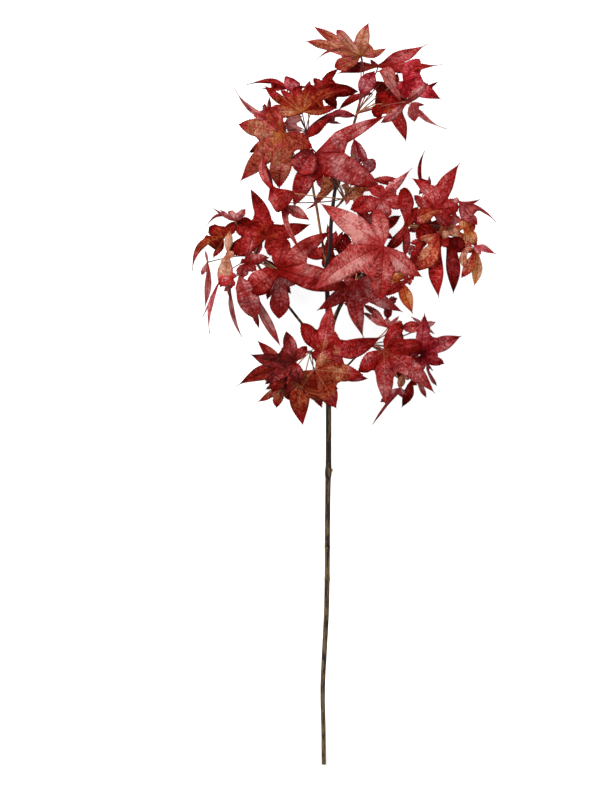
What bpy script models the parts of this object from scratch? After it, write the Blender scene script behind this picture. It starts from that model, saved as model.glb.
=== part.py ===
"""Artificial Japanese maple spray, cut from its bunch: one long wire stem with seven side boughs and
eight masses of five-lobed fabric leaves.

The spray lies face up on a level surface. +Z is up, +Y runs from the cut end of the stem to the top
leaf, and the origin is on that surface, under the middle of the spray.

The layout below is read from above, in millimetres from the cut end: across (+X), along (+Y) and
height over the surface. Bearings are in degrees, from +X towards +Y.
"""
import math
import random
from typing import NamedTuple

import bmesh
import bpy
import numpy as np
from mathutils import Vector

MM = 0.001
# The middle of the whole spray, from the cut end: the layout is moved by it to put the origin there.
MIDDLE_ACROSS = 0.0235
MIDDLE_ALONG = 0.4400

# Every piece stays this far from the piece that carries it.
GAP = 0.0003

# The stem rises from its cut end by this slope, and eases off along its length.
STEM_SLOPE = 0.190
STEM_EASING_PER_MM = 6.0e-5
STEM_BEVEL_RESOLUTION = 2
BOUGH_BEVEL_RESOLUTION = 1
TWIG_BEVEL_RESOLUTION = 0

# A blade is thickest along its midribs and at its foot, and thins to its margin.
BLADE_THICKNESS = 0.0017
TWIG_RADIUS = 0.0012
STALK_RADIUS = 0.0009
KNOT_RADIUS = 0.0022
STALK_PIECES = 3
# A stalk ends this far inside the foot of its blade, and comes up to it in a bend of at most this reach.
STALK_SUNK = 0.0013
STALK_BEND = 0.012

# How a lobe tapers from its widest place: by these two powers of the share of the way to its tip.
TAPER_START = 2.0
TAPER_END = 1.35
WIDEST = 0.44
# A notch between two lobes lies where their margins would meet, times a fill that grows with the gap.
FILL_AT_NARROW, FILL_PER_DEG, NARROW_GAP_DEG, FILL_MOST = 1.0, 0.02, 38.0, 1.4
NOTCH_MOST_SHARE = 0.66
# A gap between two lobes wider than this is open nearly down to the foot.
OPEN_GAP_DEG = 100.0
OPEN_FILL = 0.55
# Rows of a coarse blade between its sinuses and its tips, as shares of that length.
OUTER_ROWS = (0.2, 0.62)
# How far a lobe may sag at its tip, bow sideways, or fold up along its midrib, as shares.
SAG = (-0.02, 0.20)
BOW = (-0.045, 0.045)
FOLD = (-0.05, 0.30)
# The lowest tip of a leaf that rests is this high, in mm.
REST_HEIGHT = 0.4
# A whole leaf that no one leaf of the photograph gives: bearings off its aim, and shares of its reach.
STAR_LOBES = ((-106, 0.56), (-50, 0.86), (0, 1.0), (50, 0.86), (106, 0.56))


class Lobe(NamedTuple):
    """A lobe, in mm: bow and hook shift its middle and its tip to the left, and a low slim blunts it."""

    bearing: float
    reach: float
    breadth: float = None
    bow: float = None
    hook: float = 0.0
    widest: float = WIDEST
    slim: float = TAPER_END


class Leaf(NamedTuple):
    """One leaf, with the values of each Lobe in their order."""

    at: tuple
    lobes: tuple
    lean: tuple = (0, 0)


class Mass(NamedTuple):
    """A mass of leaves on one stem, which starts at the tip of its limb and ends in a knot."""

    limb: str
    knot: tuple
    leaves: tuple


class Limb(NamedTuple):
    """A tapering limb: its route as (across, along, height, radius), in mm."""

    route: tuple


def star(at, aim, reach, lean):
    """A leaf with all five lobes in their usual places. With no height in `at`, its lowest tip rests."""
    lobes = tuple((aim + turn, reach * share) for turn, share in STAR_LOBES)
    return Leaf(at, lobes, lean)


# The stem: across, along and radius. Its height follows from the slope.
STEM = (
    (0.0, -5, 2.7), (-0.4, 37, 2.8), (-1.2, 67, 2.85), (-1.3, 89, 2.9), (-0.6, 108, 3.0), (1.3, 144, 3.1),
    (3.1, 181, 3.2), (3.8, 215, 3.2), (4.0, 221, 3.55), (4.0, 227, 3.2), (4.1, 254, 3.25),
    (4.1, 260, 3.6), (4.1, 266, 3.3), (4.9, 335, 3.35), (5.2, 346, 4.0), (5.4, 352, 4.3), (5.5, 360, 3.6),
    (5.6, 400, 3.4), (5.5, 437, 3.3), (5.0, 500, 3.1), (4.2, 557, 2.9), (3.0, 595, 2.7), (7.2, 617, 2.5),
    (8.4, 647, 2.4), (10.8, 671, 2.3), (14.4, 695, 2.1), (22.8, 733, 1.7), (27.6, 746, 1.5),
    (35.0, 764, 1.3),
)
# The stub of a bud on the stem's knuckle: from the stem's middle to its tip, as across, along, radius.
BUD = ((5.4, 349, 2.2), (8.6, 351.5, 2.0), (10.2, 354, 1.2))

BOUGHS = {
    "lower_right_bough": Limb((
        (5.5, 437, 71, 1.5), (19, 467, 80, 1.4), (30, 480, 87, 1.3), (44, 494, 94, 1.1),
    )),
    "lower_left_bough": Limb(((5.3, 455, 74, 1.6), (-4, 473, 82, 1.4), (-12, 488, 92, 1.2))),
    "left_bough": Limb((
        (5.0, 494, 79, 1.8), (-21.6, 523, 86, 1.7), (-41, 547, 91, 1.6), (-58, 569, 95, 1.4),
        (-74, 590, 100, 1.2),
    )),
    "right_bough": Limb((
        (5.1, 503, 80, 2.7), (13, 535, 87, 2.6), (25, 559, 92, 2.3), (46, 587, 100, 1.8), (67, 610, 108, 1.3),
    )),
    "centre_bough": Limb(((3.6, 578, 90, 1.5), (17, 593, 101, 1.3), (29, 605, 112, 1.1))),
    "upper_left_bough": Limb((
        (3.6, 598, 92, 1.7), (-3.6, 635, 96, 1.6), (-8.4, 665, 99, 1.6), (-13, 689, 102, 1.5),
        (-17, 719, 105, 1.3), (-19, 745, 108, 1.1),
    )),
    "upper_centre_bough": Limb(((10.2, 664, 98, 1.3), (15, 668, 102, 1.2), (20, 673, 106, 1.1))),
}

MASSES = {
    "top_foliage": Mass("stem", (39, 779, 114), (
        Leaf((44, 847, 134), ((77, 41, 17, 3, 0, 0.4), (15, 32, 8.5, -2, 1, 0.45),
             (-158, 34, 19, 0, 0, 0.65, 0.9), (164, 69, 11, -2, 0, 0.7, 1.6),
             (147, 67, 11, 0, 0, 0.6)), (200, 15)),
        Leaf((44, 847, 146), ((134, 42, 11, 0, 0, 0.75, 0.8), (-174, 54, 5, -11, 0, 0.4)), (300, 20)),
        Leaf((64, 834, 126), ((25, 66, 15.5, 0, 0, 0.38, 2.6), (-2, 77, 13, 0, 6, 0.32, 2.6),
             (-171, 50, 13, -4, 0, 0.4, 1.8), (131, 13, 5)), (190, 10)),
        Leaf((60, 829, 139), ((-122, 31, 20.5, 0, 0, 0.5, 0.7),), (250, 12)),
        Leaf((65, 829, 141), ((-55, 48, 12, 4, 0, 0.35, 1.5), (-21, 23, 11, 4, -2, 0.45, 1.2)), (250, 12)),
        Leaf((94, 817, 134), ((54, 34, 20.5, 0, 0, 0.55, 1), (-24, 51, 20.5, 0, 0, 0.45, 1.6),
             (-68, 22, 15.5, 0, 0, 0.5, 0.8), (-127, 12, 12)), (0, 12)),
        Leaf((70, 790, 129), ((-57, 52, 15.5, 6, 0, 0.5), (12, 29, 17), (78, 17, 15.5),
             (-126, 18, 15.5, 0, 0, 0.55, 0.8)), (300, 25)),
        Leaf((96, 791, 145), ((-140, 37, 11.5, 2, 0, 0.5, 1), (40, 37, 9.5, -1, 0, 0.4, 1.2)), (240, 8)),
        Leaf((104, 792, 130), ((-36, 54, 6.5, -5, 0, 0.22, 3.5), (-80, 23, 13, 0, 0, 0.55, 1.2),
             (-10, 16, 3.5)), (240, 12)),
        Leaf((103, 797, 118), ((32, 40, 6, 0, 0, 0.45, 1), (-146, 9, 3)), (0, 10)),
        Leaf((58, 803, 112), ((-155, 45, 8.5, -5, 0, 0.55, 1.2), (163, 10, 3.5)), (240, 12)),
        star((72, 818, 84), 300, 36, (300, 28)),
        star((80, 808), 20, 32, (60, 50)),
    )),
    "upper_left_foliage": Mass("upper_left_bough", (-21, 757, 112), (
        Leaf((-49, 755, 152), ((169, 54, 20.5, 0, 0, 0.6, 1), (-132, 77, 20.5, 0, 0, 0.55, 1.5),
             (-94, 66, 27.5, 0, 0, 0.5, 1.1), (-27, 39, 19, 0, 0, 0.5, 1),
             (120, 36, 19, 0, 0, 0.5, 1)), (220, 14)),
        Leaf((-26, 780, 140), ((145, 54, 20.5, 0, 0, 0.55, 0.9), (178, 40, 15.5, 0, 0, 0.5, 0.9),
             (135, 36, 17, 0, 0, 0.6, 0.6), (105, 32, 20.5, 0, 0, 0.55, 0.6), (72, 35, 24, 0, 0, 0.5, 0.6),
             (26, 65, 15.5, 7, 0, 0.45, 1.6), (7, 41, 12, 0, 0, 0.45, 1.4)), (40, 20)),
        Leaf((-42, 809, 118), ((174, 51, 12, -5, 0, 0.35, 2.4), (179, 32, 6), (8, 21, 6)), (90, 40)),
        Leaf((-44, 806, 126), ((63, 17, 20.5, 0, 0, 0.85, 0.45),), (90, 15)),
        Leaf((-67, 773, 138), ((137, 56, 7, 6, 0, 0.25, 3), (104, 18, 7), (86, 26, 6), (200, 25, 12),
             (250, 30, 12)), (130, 15)),
        Leaf((-47, 768, 136), ((-35, 29, 14.5), (-25, 25, 7), (20, 22, 12)), (330, 20)),
        Leaf((-74, 725, 128), ((-69, 40, 8.5), (-81, 10, 6), (215, 14, 6)), (20, 45)),
        Leaf((0, 808, 112), ((132, 19, 8.5), (62, 32, 9.5, 3, -4, 0.45, 1.5),
             (-2, 41, 15.5, 0, 0, 0.5, 1.1), (-56, 27, 12), (180, 20, 12)), (30, 15)),
        Leaf((-2, 770, 132), ((6, 43, 13, 5, 0, 0.45, 1.3), (-8, 22, 3.5)), (300, 30)),
        Leaf((11, 780, 118), ((-7, 29, 6), (-141, 46, 11, 0, 0, 0.5, 1), (-128, 29, 7)), (100, 30)),
        star((-50, 752), 200, 44, (200, 48)),
        star((-22, 793, 74), 130, 34, (120, 30)),
    )),
    "upper_centre_foliage": Mass("upper_centre_bough", (24, 678, 109), (
        Leaf((-11, 731, 140), ((28, 97, 18, 2, 0, 0.33, 1.3), (-27, 87, 31, 0, 0, 0.45, 1),
             (-112, 67, 23.5, 0, 0, 0.5, 1)), (330, 6)),
        Leaf((-14, 736, 143), ((-120, 33, 31, 0, 0, 0.6, 0.5),), (330, 6)),
        Leaf((-23, 748, 138), ((41, 40, 11, 0, 0, 0.4, 1.2),), (100, 6)),
        Leaf((36, 749, 118), ((-86, 34, 11, 0, 0, 0.5, 0.9), (-65, 34, 10, 1, 0, 0.6, 0.8)), (310, 25)),
        Leaf((46, 721, 112), ((-20, 17, 17, 0, 0, 0.6, 0.5),), (310, 20)),
        Leaf((13, 692, 78), ((152, 25, 14.5, 0, 0, 0.5, 0.8), (-145, 28, 13, 0, 0, 0.5, 1.2),
             (-143, 43, 5, 0, 0, 0.7, 1.4)), (230, 15)),
        Leaf((58, 701, 110), ((-1, 31, 8, 0, 0, 0.5, 1), (-20, 24, 5)), (90, 25)),
        Leaf((31, 691, 98), ((-51, 25, 14.5, 0, 0, 0.6, 0.6), (2, 36, 9, 0, 0, 0.5, 1), (162, 11, 8.5),
             (-103, 21, 6, 0, 0, 0.6)), (300, 15)),
        Leaf((-65, 688, 166), ((-41, 30, 31, 0, 0, 0.8, 0.5), (98, 42, 9.5, 5, 0, 0.5, 1.3)), (100, 6)),
        Leaf((-52, 671, 156), ((-30, 40, 14.5, 0, 0, 0.5), (-67, 63, 6.5, -3, 0, 0.4, 1.2),
             (13, 11, 9.5)), (100, 8)),
        star((14, 722), 320, 40, (320, 46)),
    )),
    "left_foliage": Mass("left_bough", (-84, 606, 105), (
        Leaf((-70, 631, 126), ((107, 61, 18, -5, 0, 0.3, 1.1), (152, 41, 25, 0, 0, 0.55, 0.8),
             (-158, 52, 21.5, 0, 0, 0.5, 1.3), (16, 56, 18, 0, 0, 0.45, 1.4),
             (-41, 26, 26.5, 0, 0, 0.6, 0.6)), (140, 10)),
        Leaf((-120, 631, 112), ((-134, 55, 12, -12, 0, 0.35, 1.7), (-118, 27, 11, 0, 0, 0.4, 1.3),
             (143, 22, 14.5, 0, 0, 0.7, 0.8), (52, 24, 13, 0, 0, 0.5, 0.9)), (220, 25)),
        Leaf((-106, 650, 126), ((51, 19, 8.5, 0, 0, 0.6, 0.9), (125, 15, 11, 0, 0, 0.7, 0.6),
             (143, 23, 11, 0, 0, 0.6, 0.7), (149, 31, 5, 0, 0, 0.4, 1.2),
             (-171, 35, 4, -11, 0, 0.45)), (200, 20)),
        Leaf((-116, 613, 120), ((-101, 42, 18, 2, 0, 0.5, 0.9), (82, 26, 9.5, 0, 0, 0.5, 0.9),
             (-24, 10, 8.5)), (190, 15)),
        Leaf((-94, 600, 132), ((14, 29, 14.5, 0, 0, 0.45, 1.2), (75, 37, 7, 0, 0, 0.4, 1.4),
             (-109, 18, 15.5, 0, 0, 0.55, 0.9), (125, 7, 9.5), (-32, 16, 9.5)), (300, 20)),
        Leaf((-56, 593, 136), ((-14, 86, 30, 0, 0, 0.5, 0.9), (35, 78, 19, 2, 0, 0.5, 1.3),
             (76, 38, 24, 0, 0, 0.5, 0.6), (-142, 42, 30, 0, 0, 0.62, 0.5)), (240, 8)),
        Leaf((-54, 589, 122), ((-90, 55, 24, 1, 0, 0.66, 1), (-135, 29, 14.5), (-30, 26, 14.5)), (270, 12)),
        Leaf((-139, 602, 104), ((104, 15, 3, 0, 0, 0.5), (-117, 17, 6, 0, 0, 0.6, 0.7),
             (-94, 55, 8, 2, 0, 0.5, 1.6)), (180, 35)),
        Leaf((-126, 578, 114), ((-100, 63, 6, -5, 0, 0.35, 2.2), (-115, 46, 3), (39, 8, 5)), (170, 35)),
        Leaf((-109, 582, 122), ((-159, 18, 18, 0, 0, 0.6, 1), (94, 8, 7), (-99, 12, 8.5)), (250, 20)),
        Leaf((-112, 576, 100), ((-78, 65, 6, -5, 0, 0.4, 1.2), (-132, 12, 5, 0, 0, 0.4),
             (-97, 15, 8.5)), (200, 30)),
        Leaf((-102, 586, 130), ((-68, 54, 26.5, 0, 0, 0.55, 0.62),), (280, 12)),
        Leaf((-97, 582, 112), ((-61, 92, 12, 0, 0, 0.62, 1.2), (-72, 62, 7, 0, 0, 0.75, 1.2)), (270, 10)),
        star((-76, 632), 150, 42, (150, 48)),
        star((-56, 594), 250, 38, (250, 50)),
    )),
    "centre_foliage": Mass("centre_bough", (35, 612, 118), (
        Leaf((71, 620, 166), ((146, 91, 26.5, 0, 0, 0.42, 1.3), (-148, 97, 30, -5, 0, 0.45, 1.1),
             (101, 45, 18, -2, 0, 0.55, 0.65), (-39, 59, 20.5, -2, 0, 0.42, 1.5),
             (-94, 63, 25, 0, 0, 0.6, 0.6)), (220, 5)),
        Leaf((67, 677, 130), ((-160, 38, 21.5, 0, 0, 0.5, 0.9), (86, 17, 29, 0, 0, 0.6, 0.6),
             (44, 54, 12, 0, 0, 0.3, 2.2), (-17, 29, 23, 0, 0, 0.6, 0.6),
             (-67, 24, 24, 0, 0, 0.6, 0.6)), (60, 12)),
        Leaf((38, 580, 122), ((-82, 70, 19, -5, 0, 0.42, 1.9), (-142, 59, 20.5, 0, 0, 0.42, 1.5),
             (-34, 68, 23, 0, 0, 0.5, 1.5), (-17, 40, 21.5, 0, 0, 0.6, 0.7), (-169, 18, 12)), (270, 10)),
        Leaf((91, 580, 108), ((140, 19, 14.5, 0, 0, 0.5, 0.8), (-69, 43, 15.5, 0, 0, 0.45, 1.6),
             (-141, 17, 9.5), (66, 12, 9.5)), (300, 20)),
        Leaf((102, 582, 116), ((-146, 37, 11, 0, 0, 0.5, 1), (31, 7, 8.5), (-86, 8, 6),
             (163, 8, 7)), (120, 20)),
        Leaf((11, 618, 74), ((103, 31, 8, 0, 0, 0.5, 1.2), (-164, 33, 14.5, 0, 0, 0.45, 1.1),
             (-112, 26, 14.5, 0, 0, 0.5, 1), (61, 25, 8.5), (81, 23, 7)), (170, 10)),
        Leaf((31, 606, 84), ((123, 37, 15.5, 0, 0, 0.5, 0.9), (100, 33, 17, 0, 0, 0.5, 0.9), (65, 25, 19),
             (-170, 21, 17)), (100, 20)),
        Leaf((77, 554, 98), ((-92, 20, 10, 0, 0, 0.6, 0.9), (24, 12, 9.5), (166, 10, 9.5)), (300, 10)),
        star((62, 642), 80, 42, (80, 46)),
        star((48, 588), 260, 46, (260, 46)),
    )),
    "right_foliage": Mass("right_bough", (100, 645, 118), (
        Leaf((131, 664, 142), ((125, 46, 18, -4, 0, 0.5, 1.4), (66, 64, 19, 0, -6, 0.42, 1.8),
             (7, 30, 21.5, 0, 0, 0.6, 0.6), (-48, 28, 14.5, 0, 0, 0.5, 1),
             (145, 29, 15.5, 0, 0, 0.5, 0.9)), (60, 8)),
        Leaf((161, 673, 136), ((-28, 51, 4, 5, 0, 0.3, 1.8), (9, 26, 4, -3, 0, 0.5),
             (-51, 35, 20.5, 0, 0, 0.45, 1.2), (153, 8, 7)), (0, 20)),
        Leaf((134, 662, 159), ((-161, 32, 19, 0, 0, 0.5, 0.7), (-12, 9, 7)), (200, 14)),
        Leaf((136, 630, 128), ((-89, 71, 18, -3, 0, 0.55, 1.6), (157, 28, 23, 0, 0, 0.65, 0.5),
             (-32, 16, 19)), (250, 12)),
        Leaf((148, 630, 124), ((-84, 66, 17, 3, 0, 0.5, 1.3), (-34, 25, 19, 0, 0, 0.5, 0.9),
             (-151, 12, 9.5)), (290, 20)),
        Leaf((150, 634, 140), ((180, 10, 9.5, 0, 0, 0.6, 0.6), (21, 12, 10, 0, 0, 0.6, 0.6)), (270, 15)),
        Leaf((137, 634, 134), ((-126, 54, 25, 4, 0, 0.5, 1.1), (-168, 26, 6.5, 0, 0, 0.5, 0.8),
             (20, 28, 8.5, 2, 0, 0.5, 0.8), (54, 16, 8.5, 0, 0, 0.6, 0.7)), (250, 10)),
        Leaf((166, 641, 128), ((85, 13, 12, 0, 0, 0.6, 0.7), (22, 16, 14.5, 0, 0, 0.6, 0.7),
             (-51, 26, 14.5, 2, 0, 0.45, 1.1), (174, 11, 7)), (330, 25)),
        Leaf((162, 638, 122), ((-59, 26, 14.5, -1, 0, 0.5, 0.8), (-111, 10, 9.5)), (330, 20)),
        Leaf((167, 617, 116), ((-88, 22, 9, -1, 0, 0.45, 0.9), (7, 10, 5, 0, 0, 0.5, 1)), (260, 20)),
        Leaf((180, 618, 114), ((-114, 38, 14.5, 2, 0, 0.55, 1), (-146, 9, 7)), (260, 20)),
        Leaf((181, 622, 112), ((-91, 48, 14, 4, 0, 0.6, 1.3), (-68, 13, 7)), (320, 30)),
        Leaf((179, 622, 120), ((-21, 29, 10, 0, 0, 0.35, 1.6), (-52, 14, 7)), (0, 20)),
        Leaf((119, 689, 126), ((88, 46, 4.5, 6, 0, 0.4), (68, 17, 4, -4, 0, 0.4), (-130, 9, 5)), (0, 30)),
        Leaf((100, 644, 152), ((96, 46, 21.5, -2, 0, 0.6, 0.55), (-133, 41, 12.5, 2, 0, 0.5, 1),
             (-96, 37, 8.5, 0, 0, 0.45, 1), (62, 26, 12)), (330, 12)),
        Leaf((118, 628, 126), ((-113, 37, 13, 0, 0, 0.5, 1), (-169, 16, 6), (39, 8, 7)), (240, 20)),
        Leaf((152, 656, 130), ((48, 8, 7), (-17, 13, 14.5), (-97, 15, 13),
             (176, 16, 14.5, 0, 0, 0.6, 0.7)), (250, 8)),
        Leaf((103, 617, 112), ((174, 6, 6), (35, 7, 7), (-95, 7, 6)), (200, 10)),
        star((130, 652), 250, 36, (250, 50)),
    )),
    "lower_left_foliage": Mass("lower_left_bough", (-16, 495, 98), (
        Leaf((-2, 493, 134), ((15, 72, 24, -5, 0, 0.45, 1.2), (80, 60, 18, 0, 0, 0.5, 1.6),
             (126, 44, 19, 0, 0, 0.5, 0.9), (-160, 14, 11, 0, 0, 0.6, 0.7), (-26, 29, 17)), (60, 6)),
        Leaf((-35, 483, 158), ((50, 23, 11, 0, 0, 0.5, 1), (106, 37, 15.5, 0, 0, 0.5, 1.1),
             (171, 54, 17, 4, 0, 0.45, 1.5), (-142, 45, 14.5, 0, 0, 0.5, 1.1),
             (-77, 28, 14.5, 0, 0, 0.5, 0.9)), (160, 8)),
        Leaf((-44, 472, 138), ((135, 50, 13, 0, 0, 0.5, 1.2), (-163, 63, 20.5, -5, 0, 0.4, 1.9),
             (-126, 31, 17, 0, 0, 0.5, 1)), (200, 12)),
        Leaf((-11, 473, 150), ((-6, 58, 21.5, 0, 0, 0.5, 1.2), (49, 31, 14.5, 0, 0, 0.6, 0.8),
             (-142, 44, 19, 0, 0, 0.5, 0.8), (-102, 68, 24, -11, 0, 0.55, 1.2),
             (-61, 53, 20.5, 1, 0, 0.5, 1.5)), (280, 14)),
        Leaf((-48, 458, 122), ((-106, 32, 20.5, 0, 0, 0.5, 1.2), (-143, 39, 11, 0, 0, 0.45, 1.3),
             (-159, 24, 8.5), (-72, 23, 12)), (230, 15)),
        Leaf((-24, 446, 132), ((-18, 31, 11, 0, 0, 0.45, 1), (31, 7, 7)), (0, 10)),
        Leaf((16, 466, 134), ((-6, 37, 11, 0, 0, 0.45, 1.2), (135, 7, 7)), (0, 12)),
        star((-40, 476), 200, 40, (200, 48)),
        star((-12, 464), 285, 38, (285, 50)),
    )),
    "lower_right_foliage": Mass("lower_right_bough", (54, 503, 100), (
        Leaf((71, 496, 150), ((-88, 66, 20.5, 0, 0, 0.42, 1.5), (-40, 80, 21.5, 4, 0, 0.45, 1.5),
             (9, 46, 18, 0, 0, 0.6, 0.7), (56, 39, 16, 2, 0, 0.65, 0.6),
             (-140, 40, 19, -1, 0, 0.42, 1.15)), (290, 8)),
        Leaf((116, 492, 128), ((-23, 30, 11.5, -2, 0, 0.5, 1), (26, 53, 18, 0, -2, 0.5, 1.5),
             (85, 49, 15.5, 0, 0, 0.45, 1.6), (173, 21, 11), (-95, 23, 13, 0, 0, 0.5, 1.2)), (30, 10)),
        Leaf((76, 523, 112), ((136, 42, 10, -2, 0, 0.5, 1.2), (149, 36, 8.5, -1, 0, 0.35, 1.5),
             (24, 19, 11, 0, 0, 0.6, 0.6), (46, 20, 4), (96, 12, 9.5, 0, 0, 0.6, 0.7)), (100, 25)),
        Leaf((92, 524, 106), ((1, 24, 14, 0, 0, 0.5, 0.55),), (80, 20)),
        Leaf((120, 526, 108), ((146, 19, 4, 0, 0, 0.4, 1.2), (17, 14, 6.5, 0, 0, 0.4, 1.2),
             (-40, 16, 3.5)), (80, 20)),
        Leaf((96, 469, 104), ((-106, 19, 10, 0, 0, 0.5, 0.9), (-54, 10, 6)), (240, 20)),
        Leaf((92, 452, 98), ((-144, 30, 11.5, 1, 0, 0.5, 1), (-127, 56, 3.5, -1, 0, 0.5, 1),
             (-84, 12, 9.5)), (230, 15)),
        Leaf((106, 463, 96), ((-110, 38, 12.5, 2, 0, 0.5, 1.5), (-60, 10, 9.5)), (240, 15)),
        Leaf((110, 470, 102), ((-67, 33, 6, -1, 0, 0.7, 1.2), (-42, 18, 11), (102, 17, 12)), (290, 15)),
        Leaf((122, 482, 116), ((-65, 31, 4.5, -2, 0, 0.75, 1.1), (-51, 13, 2)), (290, 20)),
        star((88, 498), 330, 40, (330, 48)),
        star((80, 486), 250, 34, (250, 50)),
    )),
}

# Colour, roughness and metallic value of each kind of piece.
FINISHES = {
    "stem": ((0.055, 0.035, 0.022), 0.55, 0.0),
    "bough": ((0.070, 0.040, 0.025), 0.60, 0.0),
    "top_foliage": ((0.42, 0.035, 0.025), 0.62, 0.0),
    "upper_left_foliage": ((0.40, 0.075, 0.022), 0.62, 0.0),
    "upper_centre_foliage": ((0.43, 0.030, 0.026), 0.62, 0.0),
    "left_foliage": ((0.34, 0.025, 0.018), 0.62, 0.0),
    "centre_foliage": ((0.45, 0.040, 0.038), 0.62, 0.0),
    "right_foliage": ((0.40, 0.035, 0.024), 0.62, 0.0),
    "lower_left_foliage": ((0.36, 0.032, 0.022), 0.62, 0.0),
    "lower_right_foliage": ((0.40, 0.024, 0.024), 0.62, 0.0),
}


def place(across, along, height):
    """A point of the layout, in metres round the origin."""
    return Vector((across * MM - MIDDLE_ACROSS, along * MM - MIDDLE_ALONG, height * MM))


def towards(bearing):
    """The level unit vector of a bearing."""
    angle = math.radians(bearing)
    return np.array((math.cos(angle), math.sin(angle)))


def stem_height(along):
    """Height of the stem's centre line: it rests on its cut end and rises in an easy curve."""
    run = along - STEM[0][1]
    return STEM[0][2] + run * STEM_SLOPE - run * run * STEM_EASING_PER_MM


def smooth(share):
    """Eases a share from 0 to 1."""
    share = min(max(share, 0.0), 1.0)
    return share * share * (3.0 - 2.0 * share)


def clear_scene():
    for old in list(bpy.data.objects):
        bpy.data.objects.remove(old)
    for old in list(bpy.data.collections):
        bpy.data.collections.remove(old)


def new_collection(name):
    made = bpy.data.collections.new(name)
    bpy.context.scene.collection.children.link(made)
    return made


def new_material(name, colour, roughness, metallic):
    material = bpy.data.materials.new(name)
    material.use_nodes = True
    shader = material.node_tree.nodes["Principled BSDF"]
    shader.inputs["Base Color"].default_value = (*colour, 1.0)
    shader.inputs["Roughness"].default_value = roughness
    shader.inputs["Metallic"].default_value = metallic
    return material


def mesh_object(name, mesh, collection):
    made = bpy.data.objects.new(name, mesh)
    collection.objects.link(made)
    return made


def tube(name, points, radii, bevel_resolution, collection):
    """A tapering tube with flat ends, as a closed mesh."""
    curve = bpy.data.curves.new(name, "CURVE")
    curve.dimensions = "3D"
    curve.bevel_depth = 1.0
    curve.bevel_resolution = bevel_resolution
    curve.use_fill_caps = True
    spline = curve.splines.new("POLY")
    spline.points.add(len(points) - 1)
    for point, co, radius in zip(spline.points, points, radii):
        point.co = (*co, 1.0)
        point.radius = radius
    drawn = bpy.data.objects.new(name + "_line", curve)
    collection.objects.link(drawn)
    graph = bpy.context.evaluated_depsgraph_get()
    mesh = bpy.data.meshes.new_from_object(drawn.evaluated_get(graph))
    made = mesh_object(name, mesh, collection)
    made.matrix_world = drawn.matrix_world
    bpy.data.objects.remove(drawn)
    bpy.data.curves.remove(curve)
    work = bmesh.new()
    work.from_mesh(mesh)
    bmesh.ops.remove_doubles(work, verts=work.verts, dist=1e-6)
    bmesh.ops.recalc_face_normals(work, faces=work.faces)
    work.to_mesh(mesh)
    work.free()
    return made


def ordered(lobes):
    """The lobes by bearing, starting after the widest gap, where the stalk comes in."""
    turned = sorted(Lobe(lobe[0] % 360.0, *lobe[1:]) for lobe in lobes)
    gaps = [(b.bearing - a.bearing) % 360.0 or 360.0 for a, b in zip(turned, turned[1:] + turned[:1])]
    first = (gaps.index(max(gaps)) + 1) % len(turned)
    return turned[first:] + turned[:first]


def lobe_breadth(lobe):
    """The widest breadth of a lobe, in mm."""
    return lobe.breadth or 0.27 * lobe.reach + 3.0


def leaf_fall(leaf, level):
    """How far a leaned leaf's plane lies over its foot, at level offsets from it."""
    bearing, degrees = leaf.lean
    return -(level @ towards(bearing)) * math.tan(math.radians(degrees))


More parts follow.
